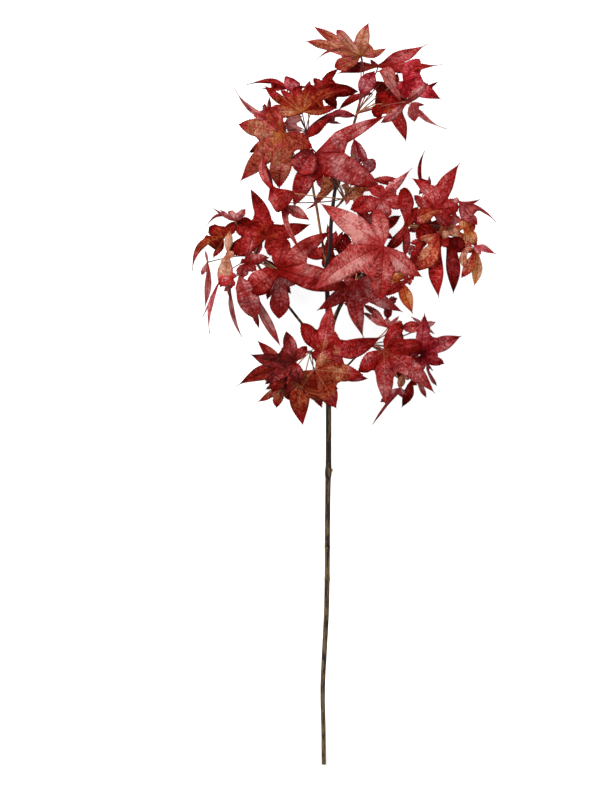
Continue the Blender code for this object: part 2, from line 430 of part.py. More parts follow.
class Blade:
    """The middle surface of a leaf, as rows of points along each lobe, worked out from its lobes."""

    def __init__(self, leaf, inner_rows, outer_rows, columns, chance):
        self.leaf, self.columns = leaf, columns
        self.lobes = ordered(leaf.lobes)
        self.inner_rows, self.outer_rows = inner_rows, outer_rows
        self.points, self.faces = [(0.0, 0.0, 0.0)], []
        # 1 where the blade is thickest, and 0 on its margin
        self.thick = [1.0]
        self.habit = [
            (chance.uniform(*SAG), chance.uniform(*BOW), chance.uniform(*FOLD)) for _ in self.lobes
        ]
        self.sinuses = [self.sinus(k) for k in range(len(self.lobes))]
        self.shared = {}
        for k in range(len(self.lobes)):
            self.add_lobe(k)

    def gap_after(self, k):
        """Degrees from lobe k to the next one, or None after the last one, where the stalk comes in."""
        if k == len(self.lobes) - 1:
            return None
        return (self.lobes[k + 1].bearing - self.lobes[k].bearing) % 360.0

    def sinus(self, k):
        """The bottom of the notch after lobe k, or None after the last one."""
        gap = self.gap_after(k)
        if gap is None:
            return None
        here, after = self.lobes[k], self.lobes[k + 1]
        fill = min(FILL_AT_NARROW + FILL_PER_DEG * max(gap - NARROW_GAP_DEG, 0.0), FILL_MOST)
        fill = OPEN_FILL if gap > OPEN_GAP_DEG else fill
        half = (lobe_breadth(here) + lobe_breadth(after)) / 4.0
        depth = fill * half / math.sin(math.radians(gap / 2.0))
        return towards(here.bearing + gap / 2.0) * min(depth, NOTCH_MOST_SHARE * min(here.reach, after.reach))

    def bow(self, k):
        """How far lobe k bows to its left, in mm."""
        lobe = self.lobes[k]
        return self.habit[k][1] * lobe.reach if lobe.bow is None else lobe.bow

    def height(self, k, along, across):
        """Rise of lobe k over the blade's plane, in mm."""
        sag, _, fold = self.habit[k]
        reach = self.lobes[k].reach
        share = along / reach
        return -sag * reach * share * share + fold * abs(across) * smooth(share * 4.0)

    def point(self, k, along, across):
        """A point of lobe k from how far along and across its midrib it lies."""
        lobe = self.lobes[k]
        ahead = towards(lobe.bearing)
        side = np.array((-ahead[1], ahead[0]))
        share = along / lobe.reach
        shift = self.bow(k) * 4.0 * share * (1.0 - share) + lobe.hook * share**3
        level = ahead * along + side * (across + shift)
        return (level[0], level[1], self.height(k, along, across))

    def add(self, point, thick):
        self.points.append(tuple(point))
        self.thick.append(thick)
        return len(self.points) - 1

    def half_breadth(self, k, start, side):
        """Functions for one side of lobe k: its margin from the sinus on, by distance along the midrib."""
        lobe = self.lobes[k]
        reach, half = lobe.reach, lobe_breadth(lobe) / 2.0
        widest = max(lobe.widest * reach, start[0] + 0.1 * reach)
        gap = self.gap_after(k if side > 0 else k - 1) if not (side < 0 and k == 0) else None
        if gap is not None:
            half = min(half, 0.92 * widest * math.tan(math.radians(gap / 2.0)))

        def margin(along):
            if along <= widest:
                return start[1] + (half - start[1]) * smooth((along - start[0]) / (widest - start[0]))
            share = (along - widest) / (reach - widest)
            return half * (1.0 - share**TAPER_START) ** lobe.slim

        return margin

    def side_start(self, k, side):
        """Where the margin of one side of lobe k starts: distance along and across its midrib."""
        bearing, reach = self.lobes[k].bearing, self.lobes[k].reach
        notch = self.sinuses[k] if side > 0 else (self.sinuses[k - 1] if k else None)
        if notch is None:
            return (0.24 * reach, 0.36 * lobe_breadth(self.lobes[k])), None
        ahead = towards(bearing)
        return (float(notch @ ahead), abs(float(notch[0] * -ahead[1] + notch[1] * ahead[0]))), notch

    def add_lobe(self, k):
        reach = self.lobes[k].reach
        starts = {side: self.side_start(k, side) for side in (-1, 1)}
        neck = (starts[-1][0][0] + starts[1][0][0]) / 2.0
        shares = [row / self.inner_rows for row in range(1, self.inner_rows + 1)]
        middle = [self.add(self.point(k, neck * share, 0.0), 1.0) for share in shares]
        middle += [self.add(self.point(k, neck + (reach - neck) * share, 0.0), 1.0 - 0.6 * share)
                   for share in self.outer_rows]
        tip = self.add(self.point(k, reach, 0.0), 0.0)
        for side in (-1, 1):
            self.add_side(k, side, starts[side], neck, shares, middle, tip)

    def add_side(self, k, side, start, neck, shares, middle, tip):
        """One half of a lobe, from its midrib to its margin."""
        (along, across), notch = start
        reach = self.lobes[k].reach
        margin = self.half_breadth(k, (along, across), side)
        rows = []
        pair = (k, k + 1) if side > 0 else (k - 1, k)
        for row, share in enumerate(shares):
            edge = np.array(self.point(k, along * share, side * across * share))
            thick = 1.0 - share if notch is not None else 0.0
            if notch is not None:
                edge[:2] = notch * share
            rib = np.array(self.points[middle[row]])
            inner = [self.add(rib + (edge - rib) * v / self.columns, self.thick[middle[row]])
                     for v in range(1, self.columns)]
            if notch is None:
                last = self.add(edge, thick)
            elif (pair, row) in self.shared:
                last = self.shared[(pair, row)]
                before = np.array(self.points[last])
                self.points[last] = tuple((before + edge) / 2.0)
            else:
                last = self.shared[(pair, row)] = self.add(edge, thick)
            rows.append([middle[row], *inner, last])
        for row, share in enumerate(self.outer_rows):
            at = along + (reach - along) * share
            edge = np.array(self.point(k, at, side * margin(at)))
            index = middle[len(shares) + row]
            rib = np.array(self.points[index])
            inner = [
                self.add(rib + (edge - rib) * v / self.columns, self.thick[index] * (1.0 - v / self.columns))
                for v in range(1, self.columns)
            ]
            rows.append([index, *inner, self.add(edge, 0.0)])
        self.stitch([0] * (self.columns + 1), rows[0], side)
        for before, after in zip(rows, rows[1:]):
            self.stitch(before, after, side)
        self.stitch(rows[-1], [tip] * (self.columns + 1), side)

    def stitch(self, near, far, side):
        """Faces between two rows, wound so that they face up."""
        for v in range(self.columns):
            ring = [near[v], far[v], far[v + 1], near[v + 1]]
            ring = [p for n, p in enumerate(ring) if p != ring[n - 1]]
            if len(set(ring)) < 3:
                continue
            ring = ring if side > 0 else ring[::-1]
            for n in range(1, len(ring) - 1):
                self.faces.append((ring[0], ring[n], ring[n + 1]))

    def leaned(self):
        """The points in mm, leaned about the foot of the blade."""
        co = np.array(self.points)
        co[:, 2] += leaf_fall(self.leaf, co[:, :2])
        return co

    def foot(self):
        """Where the foot of the blade is, in metres round the origin."""
        if len(self.leaf.at) == 3:
            return place(*self.leaf.at)
        return place(*self.leaf.at, REST_HEIGHT - self.leaned()[:, 2].min())


def blade_normals(co, faces):
    """Upward unit normals of the points of a blade."""
    corners = co[np.array(faces)]
    flat = np.cross(corners[:, 1] - corners[:, 0], corners[:, 2] - corners[:, 0])
    normals = np.zeros_like(co)
    for corner in range(3):
        np.add.at(normals, np.array(faces)[:, corner], flat)
    return normals / np.maximum(np.linalg.norm(normals, axis=1, keepdims=True), 1e-12)


def closed_blade(name, leaf, chance, collection):
    """A leaf's blade as one closed body: full along the midribs, sharp at the margin."""
    blade = Blade(leaf, 1, OUTER_ROWS, 1, chance)
    co = blade.leaned() * MM
    normals = blade_normals(co, blade.faces)
    half = np.array(blade.thick)[:, None] * BLADE_THICKNESS / 2.0
    top, under = co + normals * half, co - normals * half
    base = np.array(blade.foot())
    verts = [tuple(base + p) for p in top]
    below = {}
    for n, thick in enumerate(blade.thick):
        if thick > 0.0:
            below[n] = len(verts)
            verts.append(tuple(base + under[n]))
    faces = list(blade.faces)
    faces += [tuple(below.get(n, n) for n in reversed(face)) for face in blade.faces]
    edges = {(face[n], face[(n + 1) % 3]) for face in blade.faces for n in range(3)}
    for a, b in sorted(edges):
        if (b, a) in edges:
            continue
        rim = [b, a, below.get(a, a), below.get(b, b)]
        rim = [p for n, p in enumerate(rim) if p != rim[n - 1]]
        if len(set(rim)) > 2:
            faces.append(tuple(rim))
    mesh = bpy.data.meshes.new(name)
    mesh.from_pydata(verts, [], faces)
    mesh.update()
    return mesh_object(name, mesh, collection), blade, normals[0]


def arc(start, leave, arrive, end, pieces):
    """Points of a cubic curve between two places with its two handles."""
    points = []
    for n in range(pieces + 1):
        t = n / pieces
        u = 1.0 - t
        points.append(start * u**3 + leave * (3 * u * u * t) + arrive * (3 * u * t * t) + end * t**3)
    return points


def leaf_stalk(name, knot, blade, leaf, normal, chance, collection):
    """The stalk of a leaf, from the knot of its mass up into the underside of the blade's foot."""
    foot = blade.foot()
    first, last = blade.lobes[0].bearing, blade.lobes[-1].bearing
    gap = (first - last) % 360.0 or 360.0
    outward = towards(last + gap / 2.0)
    up = Vector(normal)
    sunk = -outward * STALK_SUNK
    end = foot + Vector((*sunk, leaf_fall(leaf, sunk)))
    run = (end - knot).length
    wander = Vector([chance.uniform(-0.12, 0.12) for _ in range(3)]) * run
    leave = knot + (end - knot) * 0.35 + wander
    arrive = end + (Vector((*outward, 0.0)) * 0.5 - up).normalized() * min(0.3 * run, STALK_BEND)
    points = arc(knot, leave, arrive, end, STALK_PIECES)
    radii = [STALK_RADIUS] * len(points)
    return tube(name, points, radii, TWIG_BEVEL_RESOLUTION, collection)


def limb_points(route):
    return [place(*point[:3]) for point in route], [point[3] * MM for point in route]


def stem_route():
    return tuple((across, along, stem_height(along), radius) for across, along, radius in STEM)


def union(name, base, others, collection, solver):
    """Joins the objects of a collection to a base, and takes them away."""
    joiner = base.modifiers.new("join", "BOOLEAN")
    joiner.operation = "UNION"
    joiner.solver = solver
    joiner.operand_type = "COLLECTION"
    joiner.collection = others
    graph = bpy.context.evaluated_depsgraph_get()
    mesh = bpy.data.meshes.new_from_object(base.evaluated_get(graph))
    made = mesh_object(name, mesh, collection)
    for old in list(others.objects) + [base]:
        bpy.data.objects.remove(old)
    return made


def build_mass(name, mass, limb_route, collection, pieces):
    """One mass of foliage: a stem from its limb's tip to a knot, and a stalk and blade for each leaf."""
    chance = random.Random(name)
    before, tip = place(*limb_route[-2][:3]), place(*limb_route[-1][:3])
    ahead = (tip - before).normalized()
    start = tip + ahead * GAP
    knot = place(*mass.knot)
    leave = start + ahead * (knot - start).length * 0.4
    points = arc(start, leave, knot - (knot - leave) * 0.3, knot, 3)
    base = tube(name + "_stem", points, [TWIG_RADIUS] * len(points), 1, collection)
    ball = bmesh.new()
    bmesh.ops.create_icosphere(ball, subdivisions=1, radius=KNOT_RADIUS)
    bmesh.ops.translate(ball, verts=ball.verts, vec=knot)
    mesh = bpy.data.meshes.new(name + "_knot")
    ball.to_mesh(mesh)
    ball.free()
    mesh_object(name + "_knot", mesh, pieces)
    for n, leaf in enumerate(mass.leaves):
        _, blade, normal = closed_blade(f"{name}_blade_{n}", leaf, chance, pieces)
        leaf_stalk(f"{name}_stalk_{n}", knot, blade, leaf, normal, chance, pieces)
    return union(name, base, pieces, collection, "MANIFOLD")


def finish(made, kind):
    made.data.materials.clear()
    made.data.materials.append(new_material(made.name, *FINISHES[kind]))


def build():
    clear_scene()
    spray = new_collection("artificial_japanese_maple_spray")
    cutters = new_collection("cutters")
    pieces = new_collection("pieces_to_join")
    routes = {"stem": stem_route()}
    routes.update({name: limb.route for name, limb in BOUGHS.items()})

    points, radii = limb_points(routes["stem"])
    bare = tube("bare_stem", points, radii, STEM_BEVEL_RESOLUTION, spray)
    bud = tuple((across, along, stem_height(along), radius) for across, along, radius in BUD)
    tube("bud", *limb_points(bud), BOUGH_BEVEL_RESOLUTION, pieces)
    stem = union("stem", bare, pieces, spray, "EXACT")
    finish(stem, "stem")
    sheath = tube("stem_clearance", points, [r + GAP for r in radii], STEM_BEVEL_RESOLUTION, cutters)
    for name, limb in BOUGHS.items():
        bough = tube(name, *limb_points(limb.route), BOUGH_BEVEL_RESOLUTION, spray)
        cut = bough.modifiers.new("clear_of_stem", "BOOLEAN")
        cut.operation = "DIFFERENCE"
        cut.solver = "EXACT"
        cut.object = sheath
        finish(bough, "bough")
    for name, mass in MASSES.items():
        made = build_mass(name, mass, routes[mass.limb], spray, pieces)
        finish(made, name)
    sheath.hide_render = True
    sheath.display_type = "WIRE"
    bpy.data.collections.remove(pieces)


if __name__ == "__main__":
    build()
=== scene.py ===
"""Artificial Japanese maple spray: the looks of its leaves, leaf stalks, boughs and stem.

The leaves of each mass are printed fabric blades with toothed margins, folded along their midribs. They grow on
bundles of coated wire stalks, from the places that the solid masses give. The stem and the boughs carry the
ridges and streaks of moulded bark.
"""
import math
import random
from functools import partial
from typing import NamedTuple

import bmesh
import bpy
import numpy as np
from bpy.props import FloatProperty, FloatVectorProperty, IntProperty, PointerProperty
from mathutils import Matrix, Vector


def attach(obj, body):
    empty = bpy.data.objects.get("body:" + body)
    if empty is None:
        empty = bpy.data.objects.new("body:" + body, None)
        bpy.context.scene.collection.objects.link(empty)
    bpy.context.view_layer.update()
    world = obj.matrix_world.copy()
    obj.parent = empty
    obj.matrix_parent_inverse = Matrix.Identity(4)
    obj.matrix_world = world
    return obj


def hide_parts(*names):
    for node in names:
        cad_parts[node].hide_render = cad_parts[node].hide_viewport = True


bl_info = {
    "name": "Artificial Japanese Maple Spray",
    "version": (1, 0, 0),
    "blender": (4, 5, 0),
    "location": "View3D > Sidebar > Maple Spray",
    "description": "Fabric leaves, wire stalks and a bark-grained stem for a red maple spray",
    "category": "Add Mesh",
}

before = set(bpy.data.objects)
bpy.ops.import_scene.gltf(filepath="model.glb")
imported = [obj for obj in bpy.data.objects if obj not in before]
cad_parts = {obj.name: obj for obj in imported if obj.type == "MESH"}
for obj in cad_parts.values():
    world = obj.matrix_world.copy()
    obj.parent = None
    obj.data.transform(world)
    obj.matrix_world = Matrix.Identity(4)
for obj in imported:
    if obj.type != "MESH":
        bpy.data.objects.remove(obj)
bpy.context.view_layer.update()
BODY = "root"

MM = 0.001
# The middle of the whole spray, from the cut end of its stem.
MIDDLE_ACROSS = 0.0235
MIDDLE_ALONG = 0.4400
STEM_SLOPE = 0.190
STEM_EASING_PER_MM = 6.0e-5

# The camera looks straight down from this height, and a pixel is this wide where most leaves lie.
CAMERA_HEIGHT = 8.0
LEAF_LEVEL = 0.090
PIXEL = 0.0012
IMAGE_SIZE = (608, 812)
STEM_FOOT_PIXEL = (324, 764)
SENSOR = 36.0


def srgb(red, green, blue):
    """A colour given in 0 to 255 screen values, as the linear values that a shader takes."""
    def linear(value):
        share = value / 255.0
        return share / 12.92 if share <= 0.04045 else ((share + 0.055) / 1.055) ** 2.4

    return (linear(red), linear(green), linear(blue))


# The dyes of the cloth, each from its darkest tone to its palest.
DYES = {
    "red": (srgb(48, 2, 2), srgb(80, 6, 3), srgb(108, 10, 6), srgb(134, 19, 14), srgb(152, 35, 36),
            srgb(165, 62, 63), srgb(179, 92, 91), srgb(200, 134, 131)),
    "dusty": (srgb(50, 3, 2), srgb(84, 7, 4), srgb(112, 13, 10), srgb(134, 24, 21), srgb(154, 46, 43),
              srgb(171, 74, 69), srgb(184, 99, 94), srgb(198, 128, 122)),
    "dusky": (srgb(44, 8, 7), srgb(70, 15, 14), srgb(94, 22, 21), srgb(116, 33, 33), srgb(136, 52, 52),
              srgb(152, 80, 80), srgb(168, 107, 107), srgb(192, 145, 144)),
    "rose": (srgb(50, 3, 4), srgb(82, 6, 8), srgb(108, 10, 15), srgb(132, 21, 28), srgb(152, 39, 47),
             srgb(165, 68, 73), srgb(179, 98, 101), srgb(200, 140, 139)),
    "ember": (srgb(56, 4, 2), srgb(84, 8, 4), srgb(108, 14, 8), srgb(132, 28, 16), srgb(148, 52, 31),
              srgb(160, 79, 48), srgb(174, 104, 70), srgb(194, 140, 112)),
    "russet": (srgb(48, 5, 3), srgb(84, 11, 7), srgb(112, 20, 13), srgb(132, 38, 26), srgb(148, 63, 44),
               srgb(161, 88, 63), srgb(174, 112, 85), srgb(192, 146, 122)),
    "ochre": (srgb(58, 10, 4), srgb(94, 18, 7), srgb(120, 29, 12), srgb(142, 48, 21), srgb(156, 73, 32),
              srgb(168, 99, 52), srgb(182, 122, 80), srgb(198, 156, 128)),
    "peach": (srgb(60, 11, 7), srgb(98, 22, 15), srgb(130, 40, 29), srgb(156, 70, 53), srgb(180, 107, 83),
              srgb(196, 138, 110), srgb(208, 160, 134), srgb(222, 190, 170)),
}
HALF_TONES = 15
# Painted light: the print of a leaf in the shade of others is made this much brighter, for each plus that its kind is
# marked with.
PAINTED_LIGHT_PER_PLUS = 1.8


class Print(NamedTuple):
    """How one kind of leaf is printed. Its heart is round the foot, and a painted highlight pales the lit halves of
    its lobes.
    """

    dye: str
    # Painted highlight: how many tones the lit halves of lobes are paled.
    painted_sheen: float = 1.0
    heart: str = None
    heart_size: float = 0.0
    heart_tone: float = 0.0
    tips: str = None
    tip_size: float = 0.0
    tip_tone: float = 0.0
    flecks: str = None
    fleck_share: float = 0.0
    rib_tone: float = -1.8


PRINTS = {
    "red": Print("red", 1.6),
    "scarlet": Print("red", 1.3, "ember", 0.20, -0.2, rib_tone=0.9),
    "cherry": Print("red", 1.6, "russet", 0.20, 0.2, rib_tone=1.3),
    "rose": Print("rose", 1.8),
    "blush": Print("dusty", 1.7, "red", 0.25, -0.5, flecks="red", fleck_share=0.3),
    "dusky": Print("dusky", 2.0, "red", 0.15, -0.4, flecks="dusty", fleck_share=0.2),
    "pink": Print("rose", 1.8, "red", 0.15, -0.5),
    "russet": Print("russet", 1.6, "ochre", 0.18, 0.2, "red", 0.15, -0.2, flecks="dusty", fleck_share=0.2),
    "copper": Print("ember", 1.4, "russet", 0.15, 0.2, "red", 0.25, -0.1, rib_tone=1.6),
    "orange": Print("ember", 1.2, "ochre", 0.22, 0.1, "red", 0.30, -0.1, flecks="ochre", fleck_share=0.08,
                    rib_tone=1.5),
    "ember": Print("ember", 1.0, "ember", 0.2, 0.3, "red", 0.3, 0.0),
    "ochre": Print("ochre", 1.2, "ochre", 0.15, 0.2, "ember", 0.25, 0.0, flecks="ember", fleck_share=0.3),
    "amber": Print("ochre", 1.4, "russet", 0.3, -0.5),
    "salmon": Print("russet", 1.6, "red", 0.2, -0.5, "red", 0.15, -0.3),
    "peach": Print("peach", 1.0, "russet", 0.12, -0.3, "russet", 0.1, 0.0, rib_tone=-0.8),
}

# The coat of the wire: the lower stem is khaki, and everything above darkens to purple and brown.
COAT = {
    "khaki": srgb(84, 67, 43),
    "drab": srgb(66, 49, 32),
    "umber": srgb(50, 35, 22),
    "soot": srgb(26, 17, 14),
    "aubergine": srgb(44, 24, 27),
    "stalk_maroon": srgb(104, 36, 34),
    "stalk_tan": srgb(152, 98, 58),
    "bud": srgb(160, 142, 112),
}


class Lobe(NamedTuple):
    """A lobe, in mm: bow and hook shift its middle and its tip to the left, and a low slim blunts it."""

    bearing: float
    reach: float
    breadth: float = None
    bow: float = None
    hook: float = 0.0
    widest: float = 0.44
    slim: float = 1.35


class Leaf(NamedTuple):
    """One leaf: its print, the place of its foot, the values of each Lobe, and its lean.

    The print is a kind, its tone, and a mark for the painted highlight on each lobe's lit half: +, -, 0 for both and
    . for neither.
    """

    tint: str
    at: tuple
    lobes: tuple
    lean: tuple = (0, 0)


class Mass(NamedTuple):
    """A mass of leaves on one bundle of stalks, which starts at the tip of its limb and fans out at a knot."""

    limb: str
    knot: tuple
    leaves: tuple


# A whole leaf that no one leaf of the view gives: bearings off its aim, and shares of its reach.
STAR_LOBES = ((-106, 0.56), (-50, 0.86), (0, 1.0), (50, 0.86), (106, 0.56))
REST_HEIGHT = 0.4


def star(tint, at, aim, reach, lean):
    """A leaf with all five lobes in their usual places. With no height in `at`, its lowest tip rests."""
    lobes = tuple((aim + turn, reach * share) for turn, share in STAR_LOBES)
    return Leaf(tint, at, lobes, lean)


# The stem: across, along and radius, in mm from the cut end.
STEM = (
    (0.0, -5, 2.7), (-0.4, 37, 2.8), (-1.2, 67, 2.85), (-1.3, 89, 2.9), (-0.6, 108, 3.0), (1.3, 144, 3.1),
    (3.1, 181, 3.2), (3.8, 215, 3.2), (4.0, 221, 3.55), (4.0, 227, 3.2), (4.1, 254, 3.25),
    (4.1, 260, 3.6), (4.1, 266, 3.3), (4.9, 335, 3.35), (5.2, 346, 4.0), (5.4, 352, 4.3), (5.5, 360, 3.6),
    (5.6, 400, 3.4), (5.5, 437, 3.3), (5.0, 500, 3.1), (4.2, 557, 2.9), (3.0, 595, 2.7), (7.2, 617, 2.5),
    (8.4, 647, 2.4), (10.8, 671, 2.3), (14.4, 695, 2.1), (22.8, 733, 1.7), (27.6, 746, 1.5),
    (35.0, 764, 1.3),
)
BUD = ((5.4, 349, 2.2), (8.6, 351.5, 2.0), (10.2, 354, 1.2))

BOUGHS = {
    "lower_right_bough": ((5.5, 437, 71, 1.5), (19, 467, 80, 1.4), (30, 480, 87, 1.3), (44, 494, 94, 1.1)),
    "lower_left_bough": ((5.3, 455, 74, 1.6), (-4, 473, 82, 1.4), (-12, 488, 92, 1.2)),
    "left_bough": (
        (5.0, 494, 79, 1.8), (-21.6, 523, 86, 1.7), (-41, 547, 91, 1.6), (-58, 569, 95, 1.4),
        (-74, 590, 100, 1.2),
    ),
    "right_bough": (
        (5.1, 503, 80, 2.7), (13, 535, 87, 2.6), (25, 559, 92, 2.3), (46, 587, 100, 1.8),
        (67, 610, 108, 1.3),
    ),
    "centre_bough": ((3.6, 578, 90, 1.5), (17, 593, 101, 1.3), (29, 605, 112, 1.1)),
    "upper_left_bough": (
        (3.6, 598, 92, 1.7), (-3.6, 635, 96, 1.6), (-8.4, 665, 99, 1.6), (-13, 689, 102, 1.5),
        (-17, 719, 105, 1.3), (-19, 745, 108, 1.1),
    ),
    "upper_centre_bough": ((10.2, 664, 98, 1.3), (15, 668, 102, 1.2), (20, 673, 106, 1.1)),
}

